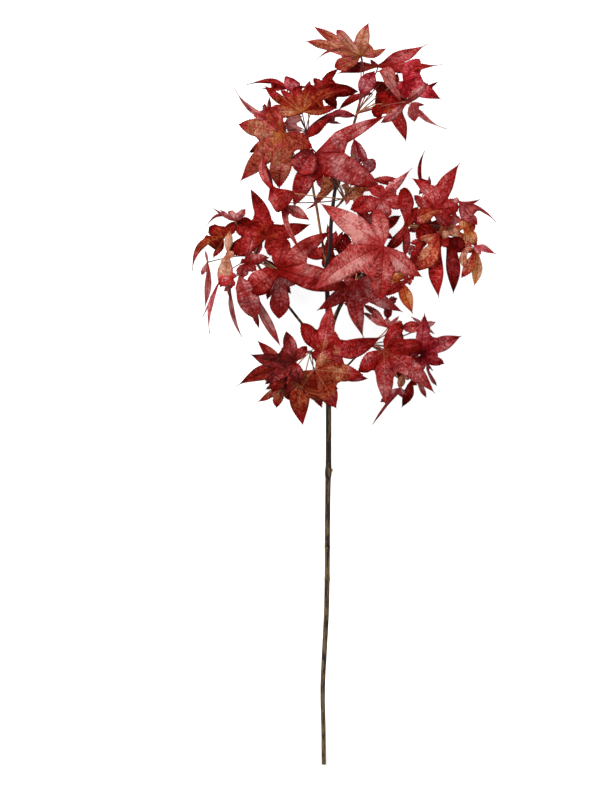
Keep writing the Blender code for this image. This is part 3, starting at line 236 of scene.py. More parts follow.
MASSES = {
    "top_foliage": Mass("stem", (39, 779, 114), (
        Leaf("russet 4.2 00.-0", (44, 847, 134), ((77, 41, 17, 3, 0, 0.4), (15, 32, 8.5, -2, 1, 0.45),
             (-158, 34, 19, 0, 0, 0.65, 0.9), (164, 69, 11, -2, 0, 0.7, 1.6),
             (147, 67, 11, 0, 0, 0.6)), (200, 15)),
        Leaf("russet 5.3 -.", (44, 847, 146), ((134, 42, 11, 0, 0, 0.75, 0.8),
             (-174, 54, 5, -11, 0, 0.4)), (300, 20)),
        Leaf("scarlet 3.6 .0..", (64, 834, 126), ((25, 66, 15.5, 0, 0, 0.38, 2.6),
             (-2, 77, 13, 0, 6, 0.32, 2.6),
             (-171, 50, 13, -4, 0, 0.4, 1.8), (131, 13, 5)), (190, 10)),
        Leaf("rose 3.5 0", (60, 829, 139), ((-122, 31, 20.5, 0, 0, 0.5, 0.7),), (250, 12)),
        Leaf("blush 5.7 0-", (65, 829, 141), ((-55, 48, 12, 4, 0, 0.35, 1.5),
             (-21, 23, 11, 4, -2, 0.45, 1.2)), (250, 12)),
        Leaf("rose+ 2.9 +0.-", (94, 817, 134), ((54, 34, 20.5, 0, 0, 0.55, 1),
             (-24, 51, 20.5, 0, 0, 0.45, 1.6),
             (-68, 22, 15.5, 0, 0, 0.5, 0.8), (-127, 12, 12)), (0, 12)),
        Leaf("scarlet+ 2.2 0..-", (70, 790, 129), ((-57, 52, 15.5, 6, 0, 0.5), (12, 29, 17), (78, 17, 15.5),
             (-126, 18, 15.5, 0, 0, 0.55, 0.8)), (300, 25)),
        Leaf("dusky 3.6 0+", (96, 791, 145), ((-140, 37, 11.5, 2, 0, 0.5, 1),
             (40, 37, 9.5, -1, 0, 0.4, 1.2)), (240, 8)),
        Leaf("red 5.1 0+0", (104, 792, 130), ((-36, 54, 6.5, -5, 0, 0.22, 3.5),
             (-80, 23, 13, 0, 0, 0.55, 1.2),
             (-10, 16, 3.5)), (240, 12)),
        Leaf("rose 3.0 0.", (103, 797, 118), ((32, 40, 6, 0, 0, 0.45, 1), (-146, 9, 3)), (0, 10)),
        Leaf("red 3.0 -0", (58, 803, 112), ((-155, 45, 8.5, -5, 0, 0.55, 1.2), (163, 10, 3.5)), (240, 12)),
        star("scarlet 2.4 .0000", (72, 818, 84), 300, 36, (300, 28)),
        star("red 2.4 00.00", (80, 808), 20, 32, (60, 50)),
    )),
    "upper_left_foliage": Mass("upper_left_bough", (-21, 757, 112), (
        Leaf("russet 3.8 0.0--", (-49, 755, 152), ((169, 54, 20.5, 0, 0, 0.6, 1),
             (-132, 77, 20.5, 0, 0, 0.55, 1.5),
             (-94, 66, 27.5, 0, 0, 0.5, 1.1), (-27, 39, 19, 0, 0, 0.5, 1),
             (120, 36, 19, 0, 0, 0.5, 1)), (220, 14)),
        Leaf("orange 3.1 .0-00.-", (-26, 780, 140), ((145, 54, 20.5, 0, 0, 0.55, 0.9),
             (178, 40, 15.5, 0, 0, 0.5, 0.9),
             (135, 36, 17, 0, 0, 0.6, 0.6), (105, 32, 20.5, 0, 0, 0.55, 0.6), (72, 35, 24, 0, 0, 0.5, 0.6),
             (26, 65, 15.5, 7, 0, 0.45, 1.6), (7, 41, 12, 0, 0, 0.45, 1.4)), (40, 20)),
        Leaf("red 2.2 -00", (-42, 809, 118), ((174, 51, 12, -5, 0, 0.35, 2.4), (179, 32, 6), (8, 21, 6)),
             (90, 40)),
        Leaf("rose 3.1 0", (-44, 806, 126), ((63, 17, 20.5, 0, 0, 0.85, 0.45),), (90, 15)),
        Leaf("dusky 3.3 -.000", (-67, 773, 138), ((137, 56, 7, 6, 0, 0.25, 3), (104, 18, 7), (86, 26, 6),
             (200, 25, 12),
             (250, 30, 12)), (130, 15)),
        Leaf("blush+ 5.7 .0-", (-47, 768, 136), ((-35, 29, 14.5), (-25, 25, 7), (20, 22, 12)), (330, 20)),
        Leaf("rose 3.4 000", (-74, 725, 128), ((-69, 40, 8.5), (-81, 10, 6), (215, 14, 6)), (20, 45)),
        Leaf("scarlet 2.0 -0.+.", (0, 808, 112), ((132, 19, 8.5), (62, 32, 9.5, 3, -4, 0.45, 1.5),
             (-2, 41, 15.5, 0, 0, 0.5, 1.1), (-56, 27, 12), (180, 20, 12)), (30, 15)),
        Leaf("rose 3.6 -0", (-2, 770, 132), ((6, 43, 13, 5, 0, 0.45, 1.3), (-8, 22, 3.5)), (300, 30)),
        Leaf("rose 4.0 .00", (11, 780, 118), ((-7, 29, 6), (-141, 46, 11, 0, 0, 0.5, 1), (-128, 29, 7)),
             (100, 30)),
        star("russet 1.2 .000.", (-50, 752), 200, 44, (200, 48)),
        star("orange 2.9 0000.", (-22, 793, 74), 130, 34, (120, 30)),
    )),
    "upper_centre_foliage": Mass("upper_centre_bough", (24, 678, 109), (
        Leaf("red 3.6 00+", (-11, 731, 140), ((28, 97, 18, 2, 0, 0.33, 1.3), (-27, 87, 31, 0, 0, 0.45, 1),
             (-112, 67, 23.5, 0, 0, 0.5, 1)), (330, 6)),
        Leaf("red 4.6 +", (-14, 736, 143), ((-120, 33, 31, 0, 0, 0.6, 0.5),), (330, 6)),
        Leaf("scarlet 1.8 0", (-23, 748, 138), ((41, 40, 11, 0, 0, 0.4, 1.2),), (100, 6)),
        Leaf("rose+ 3.4 0+", (36, 749, 118), ((-86, 34, 11, 0, 0, 0.5, 0.9),
             (-65, 34, 10, 1, 0, 0.6, 0.8)), (310, 25)),
        Leaf("rose 4.0 0", (46, 721, 112), ((-20, 17, 17, 0, 0, 0.6, 0.5),), (310, 20)),
        Leaf("ember+ 4.6 -.0", (13, 692, 78), ((152, 25, 14.5, 0, 0, 0.5, 0.8),
             (-145, 28, 13, 0, 0, 0.5, 1.2),
             (-143, 43, 5, 0, 0, 0.7, 1.4)), (230, 15)),
        Leaf("scarlet 2.6 +.", (58, 701, 110), ((-1, 31, 8, 0, 0, 0.5, 1), (-20, 24, 5)), (90, 25)),
        Leaf("orange++ 4.9 0..+", (31, 691, 98), ((-51, 25, 14.5, 0, 0, 0.6, 0.6),
             (2, 36, 9, 0, 0, 0.5, 1), (162, 11, 8.5),
             (-103, 21, 6, 0, 0, 0.6)), (300, 15)),
        Leaf("blush 3.6 -+", (-65, 688, 166), ((-41, 30, 31, 0, 0, 0.8, 0.5),
             (98, 42, 9.5, 5, 0, 0.5, 1.3)), (100, 6)),
        Leaf("blush 3.3 +00", (-52, 671, 156), ((-30, 40, 14.5, 0, 0, 0.5), (-67, 63, 6.5, -3, 0, 0.4, 1.2),
             (13, 11, 9.5)), (100, 8)),
        star("scarlet 1.5 .0000", (14, 722), 320, 40, (320, 46)),
    )),
    "left_foliage": Mass("left_bough", (-84, 606, 105), (
        Leaf("scarlet 2.0 0+0..", (-70, 631, 126), ((107, 61, 18, -5, 0, 0.3, 1.1),
             (152, 41, 25, 0, 0, 0.55, 0.8),
             (-158, 52, 21.5, 0, 0, 0.5, 1.3), (16, 56, 18, 0, 0, 0.45, 1.4),
             (-41, 26, 26.5, 0, 0, 0.6, 0.6)), (140, 10)),
        Leaf("orange 2.0 00.-", (-120, 631, 112), ((-134, 55, 12, -12, 0, 0.35, 1.7),
             (-118, 27, 11, 0, 0, 0.4, 1.3),
             (143, 22, 14.5, 0, 0, 0.7, 0.8), (52, 24, 13, 0, 0, 0.5, 0.9)), (220, 25)),
        Leaf("dusky 3.9 +-..-", (-106, 650, 126), ((51, 19, 8.5, 0, 0, 0.6, 0.9),
             (125, 15, 11, 0, 0, 0.7, 0.6),
             (143, 23, 11, 0, 0, 0.6, 0.7), (149, 31, 5, 0, 0, 0.4, 1.2),
             (-171, 35, 4, -11, 0, 0.45)), (200, 20)),
        Leaf("peach 4.1 -0.", (-116, 613, 120), ((-101, 42, 18, 2, 0, 0.5, 0.9),
             (82, 26, 9.5, 0, 0, 0.5, 0.9),
             (-24, 10, 8.5)), (190, 15)),
        Leaf("red 4.0 +-0.-", (-94, 600, 132), ((14, 29, 14.5, 0, 0, 0.45, 1.2),
             (75, 37, 7, 0, 0, 0.4, 1.4),
             (-109, 18, 15.5, 0, 0, 0.55, 0.9), (125, 7, 9.5), (-32, 16, 9.5)), (300, 20)),
        Leaf("blush 2.9 +0.-", (-56, 593, 136), ((-14, 86, 30, 0, 0, 0.5, 0.9),
             (35, 78, 19, 2, 0, 0.5, 1.3),
             (76, 38, 24, 0, 0, 0.5, 0.6), (-142, 42, 30, 0, 0, 0.62, 0.5)), (240, 8)),
        Leaf("red 4.6 .00", (-54, 589, 122), ((-90, 55, 24, 1, 0, 0.66, 1), (-135, 29, 14.5),
             (-30, 26, 14.5)), (270, 12)),
        Leaf("dusky 4.2 00.", (-139, 602, 104), ((104, 15, 3, 0, 0, 0.5), (-117, 17, 6, 0, 0, 0.6, 0.7),
             (-94, 55, 8, 2, 0, 0.5, 1.6)), (180, 35)),
        Leaf("pink 3.2 000", (-126, 578, 114), ((-100, 63, 6, -5, 0, 0.35, 2.2), (-115, 46, 3),
             (39, 8, 5)), (170, 35)),
        Leaf("red+ 3.4 -.-", (-109, 582, 122), ((-159, 18, 18, 0, 0, 0.6, 1), (94, 8, 7),
             (-99, 12, 8.5)), (250, 20)),
        Leaf("dusky 3.9 00.", (-112, 576, 100), ((-78, 65, 6, -5, 0, 0.4, 1.2), (-132, 12, 5, 0, 0, 0.4),
             (-97, 15, 8.5)), (200, 30)),
        Leaf("red 5.1 +", (-102, 586, 130), ((-68, 54, 26.5, 0, 0, 0.55, 0.62),), (280, 12)),
        Leaf("blush 4.6 +0", (-97, 582, 112), ((-61, 92, 12, 0, 0, 0.62, 1.2),
             (-72, 62, 7, 0, 0, 0.75, 1.2)), (270, 10)),
        star("red 2.5 0000-", (-76, 632), 150, 42, (150, 48)),
        star("red 2.5 +0000", (-56, 594), 250, 38, (250, 50)),
    )),
    "centre_foliage": Mass("centre_bough", (35, 612, 118), (
        Leaf("blush 4.5 0+0-.", (71, 620, 166), ((146, 91, 26.5, 0, 0, 0.42, 1.3),
             (-148, 97, 30, -5, 0, 0.45, 1.1),
             (101, 45, 18, -2, 0, 0.55, 0.65), (-39, 59, 20.5, -2, 0, 0.42, 1.5),
             (-94, 63, 25, 0, 0, 0.6, 0.6)), (220, 5)),
        Leaf("red 3.9 ..0+0", (67, 677, 130), ((-160, 38, 21.5, 0, 0, 0.5, 0.9),
             (86, 17, 29, 0, 0, 0.6, 0.6),
             (44, 54, 12, 0, 0, 0.3, 2.2), (-17, 29, 23, 0, 0, 0.6, 0.6),
             (-67, 24, 24, 0, 0, 0.6, 0.6)), (60, 12)),
        Leaf("red 4.3 +.000", (38, 580, 122), ((-82, 70, 19, -5, 0, 0.42, 1.9),
             (-142, 59, 20.5, 0, 0, 0.42, 1.5),
             (-34, 68, 23, 0, 0, 0.5, 1.5), (-17, 40, 21.5, 0, 0, 0.6, 0.7), (-169, 18, 12)), (270, 10)),
        Leaf("ochre++ 3.3 -+0.", (91, 580, 108), ((140, 19, 14.5, 0, 0, 0.5, 0.8),
             (-69, 43, 15.5, 0, 0, 0.45, 1.6),
             (-141, 17, 9.5), (66, 12, 9.5)), (300, 20)),
        Leaf("red+ 3.1 0.0.", (102, 582, 116), ((-146, 37, 11, 0, 0, 0.5, 1), (31, 7, 8.5), (-86, 8, 6),
             (163, 8, 7)), (120, 20)),
        Leaf("scarlet+ 2.2 0-.-0", (11, 618, 74), ((103, 31, 8, 0, 0, 0.5, 1.2),
             (-164, 33, 14.5, 0, 0, 0.45, 1.1),
             (-112, 26, 14.5, 0, 0, 0.5, 1), (61, 25, 8.5), (81, 23, 7)), (170, 10)),
        Leaf("red 1.9 .+00", (31, 606, 84), ((123, 37, 15.5, 0, 0, 0.5, 0.9),
             (100, 33, 17, 0, 0, 0.5, 0.9), (65, 25, 19),
             (-170, 21, 17)), (100, 20)),
        Leaf("red 3.2 000", (77, 554, 98), ((-92, 20, 10, 0, 0, 0.6, 0.9), (24, 12, 9.5),
             (166, 10, 9.5)), (300, 10)),
        star("red 2.6 000-0", (62, 642), 80, 42, (80, 46)),
        star("red 2.5 -.000", (48, 588), 260, 46, (260, 46)),
    )),
    "right_foliage": Mass("right_bough", (100, 645, 118), (
        Leaf("red 3.2 0+.-0", (131, 664, 142), ((125, 46, 18, -4, 0, 0.5, 1.4),
             (66, 64, 19, 0, -6, 0.42, 1.8),
             (7, 30, 21.5, 0, 0, 0.6, 0.6), (-48, 28, 14.5, 0, 0, 0.5, 1),
             (145, 29, 15.5, 0, 0, 0.5, 0.9)), (60, 8)),
        Leaf("red 4.9 -0+0", (161, 673, 136), ((-28, 51, 4, 5, 0, 0.3, 1.8), (9, 26, 4, -3, 0, 0.5),
             (-51, 35, 20.5, 0, 0, 0.45, 1.2), (153, 8, 7)), (0, 20)),
        Leaf("copper 3.1 +.", (134, 662, 159), ((-161, 32, 19, 0, 0, 0.5, 0.7), (-12, 9, 7)), (200, 14)),
        Leaf("scarlet+ 2.4 0..", (136, 630, 128), ((-89, 71, 18, -3, 0, 0.55, 1.6),
             (157, 28, 23, 0, 0, 0.65, 0.5),
             (-32, 16, 19)), (250, 12)),
        Leaf("scarlet 2.4 0+0", (148, 630, 124), ((-84, 66, 17, 3, 0, 0.5, 1.3),
             (-34, 25, 19, 0, 0, 0.5, 0.9),
             (-151, 12, 9.5)), (290, 20)),
        Leaf("peach 4.2 0-", (150, 634, 140), ((180, 10, 9.5, 0, 0, 0.6, 0.6),
             (21, 12, 10, 0, 0, 0.6, 0.6)), (270, 15)),
        Leaf("salmon+ 3.9 -+-.", (137, 634, 134), ((-126, 54, 25, 4, 0, 0.5, 1.1),
             (-168, 26, 6.5, 0, 0, 0.5, 0.8),
             (20, 28, 8.5, 2, 0, 0.5, 0.8), (54, 16, 8.5, 0, 0, 0.6, 0.7)), (250, 10)),
        Leaf("ochre+ 3.7 0000", (166, 641, 128), ((85, 13, 12, 0, 0, 0.6, 0.7),
             (22, 16, 14.5, 0, 0, 0.6, 0.7),
             (-51, 26, 14.5, 2, 0, 0.45, 1.1), (174, 11, 7)), (330, 25)),
        Leaf("ember++ 4.2 00", (162, 638, 122), ((-59, 26, 14.5, -1, 0, 0.5, 0.8), (-111, 10, 9.5)),
             (330, 20)),
        Leaf("salmon+ 5.9 -.", (167, 617, 116), ((-88, 22, 9, -1, 0, 0.45, 0.9),
             (7, 10, 5, 0, 0, 0.5, 1)), (260, 20)),
        Leaf("salmon+ 3.0 -0", (180, 618, 114), ((-114, 38, 14.5, 2, 0, 0.55, 1), (-146, 9, 7)), (260, 20)),
        Leaf("amber+ 5.2 +0", (181, 622, 112), ((-91, 48, 14, 4, 0, 0.6, 1.3), (-68, 13, 7)), (320, 30)),
        Leaf("pink+ 4.8 .-", (179, 622, 120), ((-21, 29, 10, 0, 0, 0.35, 1.6), (-52, 14, 7)), (0, 20)),
        Leaf("rose 3.4 .00", (119, 689, 126), ((88, 46, 4.5, 6, 0, 0.4), (68, 17, 4, -4, 0, 0.4),
             (-130, 9, 5)), (0, 30)),
        Leaf("scarlet 2.8 0-+-", (100, 644, 152), ((96, 46, 21.5, -2, 0, 0.6, 0.55),
             (-133, 41, 12.5, 2, 0, 0.5, 1),
             (-96, 37, 8.5, 0, 0, 0.45, 1), (62, 26, 12)), (330, 12)),
        Leaf("scarlet+ 3.0 .-0", (118, 628, 126), ((-113, 37, 13, 0, 0, 0.5, 1), (-169, 16, 6),
             (39, 8, 7)), (240, 20)),
        Leaf("scarlet+ 3.9 0000", (152, 656, 130), ((48, 8, 7), (-17, 13, 14.5), (-97, 15, 13),
             (176, 16, 14.5, 0, 0, 0.6, 0.7)), (250, 8)),
        Leaf("pink 5.0 0.0", (103, 617, 112), ((174, 6, 6), (35, 7, 7), (-95, 7, 6)), (200, 10)),
        star("scarlet 2.2 .+0..", (130, 652), 250, 36, (250, 50)),
    )),
    "lower_left_foliage": Mass("lower_left_bough", (-16, 495, 98), (
        Leaf("cherry 2.8 00.+.", (-2, 493, 134), ((15, 72, 24, -5, 0, 0.45, 1.2),
             (80, 60, 18, 0, 0, 0.5, 1.6),
             (126, 44, 19, 0, 0, 0.5, 0.9), (-160, 14, 11, 0, 0, 0.6, 0.7), (-26, 29, 17)), (60, 6)),
        Leaf("dusky 1.5 00++0", (-35, 483, 158), ((50, 23, 11, 0, 0, 0.5, 1),
             (106, 37, 15.5, 0, 0, 0.5, 1.1),
             (171, 54, 17, 4, 0, 0.45, 1.5), (-142, 45, 14.5, 0, 0, 0.5, 1.1),
             (-77, 28, 14.5, 0, 0, 0.5, 0.9)), (160, 8)),
        Leaf("russet 2.0 -00", (-44, 472, 138), ((135, 50, 13, 0, 0, 0.5, 1.2),
             (-163, 63, 20.5, -5, 0, 0.4, 1.9),
             (-126, 31, 17, 0, 0, 0.5, 1)), (200, 12)),
        Leaf("copper 3.8 +++.-", (-11, 473, 150), ((-6, 58, 21.5, 0, 0, 0.5, 1.2),
             (49, 31, 14.5, 0, 0, 0.6, 0.8),
             (-142, 44, 19, 0, 0, 0.5, 0.8), (-102, 68, 24, -11, 0, 0.55, 1.2),
             (-61, 53, 20.5, 1, 0, 0.5, 1.5)), (280, 14)),
        Leaf("russet 3.2 0-0.", (-48, 458, 122), ((-106, 32, 20.5, 0, 0, 0.5, 1.2),
             (-143, 39, 11, 0, 0, 0.45, 1.3),
             (-159, 24, 8.5), (-72, 23, 12)), (230, 15)),
        Leaf("orange 4.0 00", (-24, 446, 132), ((-18, 31, 11, 0, 0, 0.45, 1), (31, 7, 7)), (0, 10)),
        Leaf("rose 3.6 -0", (16, 466, 134), ((-6, 37, 11, 0, 0, 0.45, 1.2), (135, 7, 7)), (0, 12)),
        star("scarlet 1.6 .0000", (-40, 476), 200, 40, (200, 48)),
        star("russet 2.6 00.00", (-12, 464), 285, 38, (285, 50)),
    )),
    "lower_right_foliage": Mass("lower_right_bough", (54, 503, 100), (
        Leaf("cherry 3.1 00..-", (71, 496, 150), ((-88, 66, 20.5, 0, 0, 0.42, 1.5),
             (-40, 80, 21.5, 4, 0, 0.45, 1.5),
             (9, 46, 18, 0, 0, 0.6, 0.7), (56, 39, 16, 2, 0, 0.65, 0.6),
             (-140, 40, 19, -1, 0, 0.42, 1.15)), (290, 8)),
        Leaf("rose 2.1 +0000", (116, 492, 128), ((-23, 30, 11.5, -2, 0, 0.5, 1),
             (26, 53, 18, 0, -2, 0.5, 1.5),
             (85, 49, 15.5, 0, 0, 0.45, 1.6), (173, 21, 11), (-95, 23, 13, 0, 0, 0.5, 1.2)), (30, 10)),
        Leaf("blush 4.6 --000", (76, 523, 112), ((136, 42, 10, -2, 0, 0.5, 1.2),
             (149, 36, 8.5, -1, 0, 0.35, 1.5),
             (24, 19, 11, 0, 0, 0.6, 0.6), (46, 20, 4), (96, 12, 9.5, 0, 0, 0.6, 0.7)), (100, 25)),
        Leaf("red+ 3.2 -", (92, 524, 106), ((1, 24, 14, 0, 0, 0.5, 0.55),), (80, 20)),
        Leaf("rose 4.6 .00", (120, 526, 108), ((146, 19, 4, 0, 0, 0.4, 1.2), (17, 14, 6.5, 0, 0, 0.4, 1.2),
             (-40, 16, 3.5)), (80, 20)),
        Leaf("salmon 5.0 -0", (96, 469, 104), ((-106, 19, 10, 0, 0, 0.5, 0.9), (-54, 10, 6)), (240, 20)),
        Leaf("rose 4.8 --+", (92, 452, 98), ((-144, 30, 11.5, 1, 0, 0.5, 1), (-127, 56, 3.5, -1, 0, 0.5, 1),
             (-84, 12, 9.5)), (230, 15)),
        Leaf("red 1.8 -0", (106, 463, 96), ((-110, 38, 12.5, 2, 0, 0.5, 1.5), (-60, 10, 9.5)), (240, 15)),
        Leaf("red 4.5 000", (110, 470, 102), ((-67, 33, 6, -1, 0, 0.7, 1.2), (-42, 18, 11),
             (102, 17, 12)), (290, 15)),
        Leaf("rose 4.5 -0", (122, 482, 116), ((-65, 31, 4.5, -2, 0, 0.75, 1.1), (-51, 13, 2)), (290, 20)),
        star("red+ 1.9 00-.0", (88, 498), 330, 40, (330, 48)),
        star("red 0.6 0.0.0", (80, 486), 250, 34, (250, 50)),
    )),
}


def towards(bearing):
    """The level unit vector of a bearing."""
    angle = math.radians(bearing)
    return np.array((math.cos(angle), math.sin(angle)))


def stem_height(along):
    """Height of the stem's centre line: it rests on its cut end and rises in an easy curve."""
    run = along - STEM[0][1]
    return STEM[0][2] + run * STEM_SLOPE - run * run * STEM_EASING_PER_MM


def smooth(share):
    """Eases a share from 0 to 1."""
    share = np.clip(share, 0.0, 1.0)
    return share * share * (3.0 - 2.0 * share)


def noise(points, size, seed):
    """Smooth value noise from 0 to 1 at points in mm, with features of the given size."""
    at = np.asarray(points, float)[..., :3] / size + seed * 17.31
    cell = np.floor(at).astype(np.int64)
    part = smooth(at - cell)
    total = np.zeros(at.shape[:-1])
    for corner in range(8):
        step = np.array([(corner >> axis) & 1 for axis in range(3)])
        spot = cell + step
        mixed = spot[..., 0] * 374761393 + spot[..., 1] * 668265263 + spot[..., 2] * 2147483647 + seed * 974634777
        mixed = (mixed ^ (mixed >> 13)) * 1274126177
        value = ((mixed ^ (mixed >> 16)) & 0xFFFF) / 65535.0
        weight = np.prod(np.where(step, part, 1.0 - part), axis=-1)
        total += value * weight
    return total


# Form of a blade

class Blade:
    """The surface of one leaf, as a grid for each half of each lobe."""

    TAPER_START = 2.0
    FILL_AT_NARROW, FILL_PER_DEG, NARROW_GAP_DEG, FILL_MOST = 1.0, 0.02, 38.0, 1.4
    NOTCH_MOST_SHARE = 0.66
    OPEN_GAP_DEG = 100.0
    OPEN_FILL = 0.55
    SAG = (-0.02, 0.20)
    BOW = (-0.045, 0.045)
    FOLD = (-0.05, 0.30)
    TIP_HALF = 0.4
    VEIN_PITCH = 5.5

    def __init__(self, leaf, look, chance, seed):
        self.leaf, self.look, self.seed = leaf, look, seed
        self.lobes = self.ordered(leaf.lobes)
        self.habit = [
            (chance.uniform(*self.SAG), chance.uniform(*self.BOW), chance.uniform(*self.FOLD))
            for _ in self.lobes
        ]
        own = random.Random(seed)
        self.ripple = [
            {side: (own.uniform(0.5, 1.0), own.uniform(0.0, 6.28), own.uniform(14.0, 22.0)) for side in (-1, 1)}
            for _ in self.lobes
        ]
        kind, tone, *marks = leaf.tint.split()
        self.print, self.tone = PRINTS[kind.rstrip("+")], float(tone)
        self.shades = kind.count("+")
        marks = marks[0] if marks else "".join(own.choice("+-+-0") for _ in self.lobes)
        self.marks = self.in_order(marks)
        self.lobe_tone = [own.uniform(-0.45, 0.45) for _ in self.lobes]
        self.notches = [self.notch(k) for k in range(len(self.lobes))]
        self.foot = self.find_foot()

    @staticmethod
    def ordered(lobes):
        """The lobes by bearing, starting after the widest gap, where the stalk comes in."""
        turned = sorted(Lobe(lobe[0] % 360.0, *lobe[1:]) for lobe in lobes)
        gaps = [(b.bearing - a.bearing) % 360.0 or 360.0 for a, b in zip(turned, turned[1:] + turned[:1])]
        first = (gaps.index(max(gaps)) + 1) % len(turned)
        return turned[first:] + turned[:first]

    def in_order(self, marks):
        """The marks of the halves that get a painted highlight, which are given in the leaf's own order, by the order
        of the lobes.
        """
        place = {lobe[0] % 360.0: mark for lobe, mark in zip(self.leaf.lobes, marks.ljust(len(self.lobes), "0"))}
        return [place[lobe.bearing] for lobe in self.lobes]

    @staticmethod
    def breadth(lobe):
        return lobe.breadth or 0.27 * lobe.reach + 3.0

    def gap_after(self, k):
        """Degrees from lobe k to the next one, or None after the last one."""
        if k == len(self.lobes) - 1:
            return None
        return (self.lobes[k + 1].bearing - self.lobes[k].bearing) % 360.0

    def notch(self, k):
        """The bottom of the notch after lobe k, or None after the last one."""
        gap = self.gap_after(k)
        if gap is None:
            return None
        here, after = self.lobes[k], self.lobes[k + 1]
        fill = min(self.FILL_AT_NARROW + self.FILL_PER_DEG * max(gap - self.NARROW_GAP_DEG, 0.0), self.FILL_MOST)
        fill = self.OPEN_FILL if gap > self.OPEN_GAP_DEG else fill
        half = (self.breadth(here) + self.breadth(after)) / 4.0
        depth = fill * half / math.sin(math.radians(gap / 2.0))
        return towards(here.bearing + gap / 2.0) * min(depth, self.NOTCH_MOST_SHARE * min(here.reach, after.reach))

    def fall(self, level):
        """How far the leaned plane lies over the foot, at level offsets from it."""
        bearing, degrees = self.leaf.lean
        return -(level @ towards(bearing)) * math.tan(math.radians(degrees))

    def find_foot(self):
        """Where the foot of the blade is, in mm of the layout."""
        if len(self.leaf.at) == 3:
            return np.array(self.leaf.at, float)
        lowest = 0.0
        for k, lobe in enumerate(self.lobes):
            tip = towards(lobe.bearing) * lobe.reach
            lowest = min(lowest, self.fall(tip) - self.habit[k][0] * lobe.reach)
        return np.array((*self.leaf.at, REST_HEIGHT - lowest))

    def heights(self, k, side, along, across):
        """Rise of one half of lobe k over the blade's plane: its sag, its fold and its waved margin."""
        sag, _, fold = self.habit[k]
        reach = self.lobes[k].reach
        half = self.breadth(self.lobes[k]) / 2.0
        size, phase, length = self.ripple[k][side]
        share = along / reach
        wave = size * self.look.ripple_mm * np.sin(along / length * 2.0 * math.pi + phase)
        out = np.clip(np.abs(across) / half, 0.0, 1.0)
        rise = -sag * reach * share**2 + fold * np.abs(across) * smooth(share * 4.0)
        rise = rise + wave * out**1.6 * smooth(share * 3.0)
        return rise - self.look.cup_mm * out**2 * smooth(share * 3.0)

    def level(self, k, along, across):
        """Level offset from the foot of points of lobe k, from along and across its midrib."""
        lobe = self.lobes[k]
        bow = self.habit[k][1] * lobe.reach if lobe.bow is None else lobe.bow
        ahead = towards(lobe.bearing)
        side = np.array((-ahead[1], ahead[0]))
        share = along / lobe.reach
        bent = bow * 4.0 * share * (1.0 - share) + lobe.hook * share**3
        return along[..., None] * ahead + (across + bent)[..., None] * side

    def margin(self, k, side, start, at):
        """Half breadth of one side of lobe k at distances along it."""
        lobe = self.lobes[k]
        reach, half = lobe.reach, self.breadth(lobe) / 2.0
        widest = max(lobe.widest * reach, start[0] + 0.1 * reach)
        gap = self.gap_after(k) if side > 0 else (self.gap_after(k - 1) if k else None)
        if gap is not None:
            half = min(half, 0.92 * widest * math.tan(math.radians(gap / 2.0)))
        rising = start[1] + (half - start[1]) * smooth((at - start[0]) / (widest - start[0]))
        share = np.clip((at - widest) / (reach - widest), 0.0, 1.0)
        tapering = half * (1.0 - share**self.TAPER_START) ** lobe.slim
        return np.maximum(np.where(at <= widest, rising, tapering), self.TIP_HALF)

    def start(self, k, side):
        """Where one side's margin starts, along and across the midrib, and its notch if it has one."""
        lobe = self.lobes[k]
        notch = self.notches[k] if side > 0 else (self.notches[k - 1] if k else None)
        if notch is None:
            return (0.24 * lobe.reach, 0.36 * self.breadth(lobe)), None
        ahead = towards(lobe.bearing)
        return (float(notch @ ahead), abs(float(notch[0] * -ahead[1] + notch[1] * ahead[0]))), notch

    def grids(self):
        """For each half lobe: its points in mm, and along and across as shares of its size."""
        look = self.look
        most = max(lobe.reach for lobe in self.lobes)
        inner = max(3, round(most * 0.3 / look.row_mm))
        for k, lobe in enumerate(self.lobes):
            reach = lobe.reach
            starts = {side: self.start(k, side) for side in (-1, 1)}
            neck = (starts[-1][0][0] + starts[1][0][0]) / 2.0
            outer = max(4, round((reach - neck) / look.row_mm))
            for side in (-1, 1):
                yield self.half_grid(k, side, starts[side], neck, inner, outer)

    def half_grid(self, k, side, start, neck, inner, outer):
        (along0, across0), notch = start
        reach = self.lobes[k].reach
        shares = np.arange(inner + 1) / inner
        further = np.arange(1, outer + 1) / outer
        rib = np.concatenate((neck * shares, neck + (reach - neck) * further))
        at = along0 + (reach - along0) * further
        width = self.margin(k, side, (along0, across0), at)
        tooth = np.where(np.arange(outer) % 2 == 0, 1.0, -0.35) * np.minimum(1.0, width / 2.5)
        tooth[-2:] = 0.0
        edge_along = np.concatenate((along0 * shares, at + tooth * self.look.tooth_mm * 0.6))
        edge_across = np.concatenate((across0 * shares, width + tooth * self.look.tooth_mm))
        edge_along[-1] = reach
        columns = self.look.columns
        steps = np.linspace(0.0, 1.0, columns)[None, :]
        breadth = np.maximum(edge_across, 1e-6)
        strip = np.minimum(self.look.rib_mm / breadth, 0.4)[:, None]
        across_share = np.concatenate((np.zeros((len(rib), 1)), strip + (1.0 - strip) * steps), axis=1)
        along = rib[:, None] + (edge_along - rib)[:, None] * across_share
        across = side * edge_across[:, None] * across_share
        level = self.level(k, along, across)
        rise = self.heights(k, side, along, across)
        if notch is not None:
            other = k + 1 if side > 0 else k - 1
            line = notch[None, :] * shares[:, None]
            level[: inner + 1, -1] = line
            mate = self.rise_on_line(other, -side, shares)
            mine = self.rise_on_line(k, side, shares)
            lift = (mine + mate) / 2.0 - rise[: inner + 1, -1]
            rise[: inner + 1] += lift[:, None] * across_share[: inner + 1] ** 2
            after = lift[-1] * np.exp(-further * (reach - neck) / 6.0)[:, None]
            rise[inner + 1:] += after * across_share[inner + 1:] ** 2
        points = np.concatenate((level, rise[..., None]), axis=-1)
        points[..., 2] += self.fall(level)
        points += self.foot
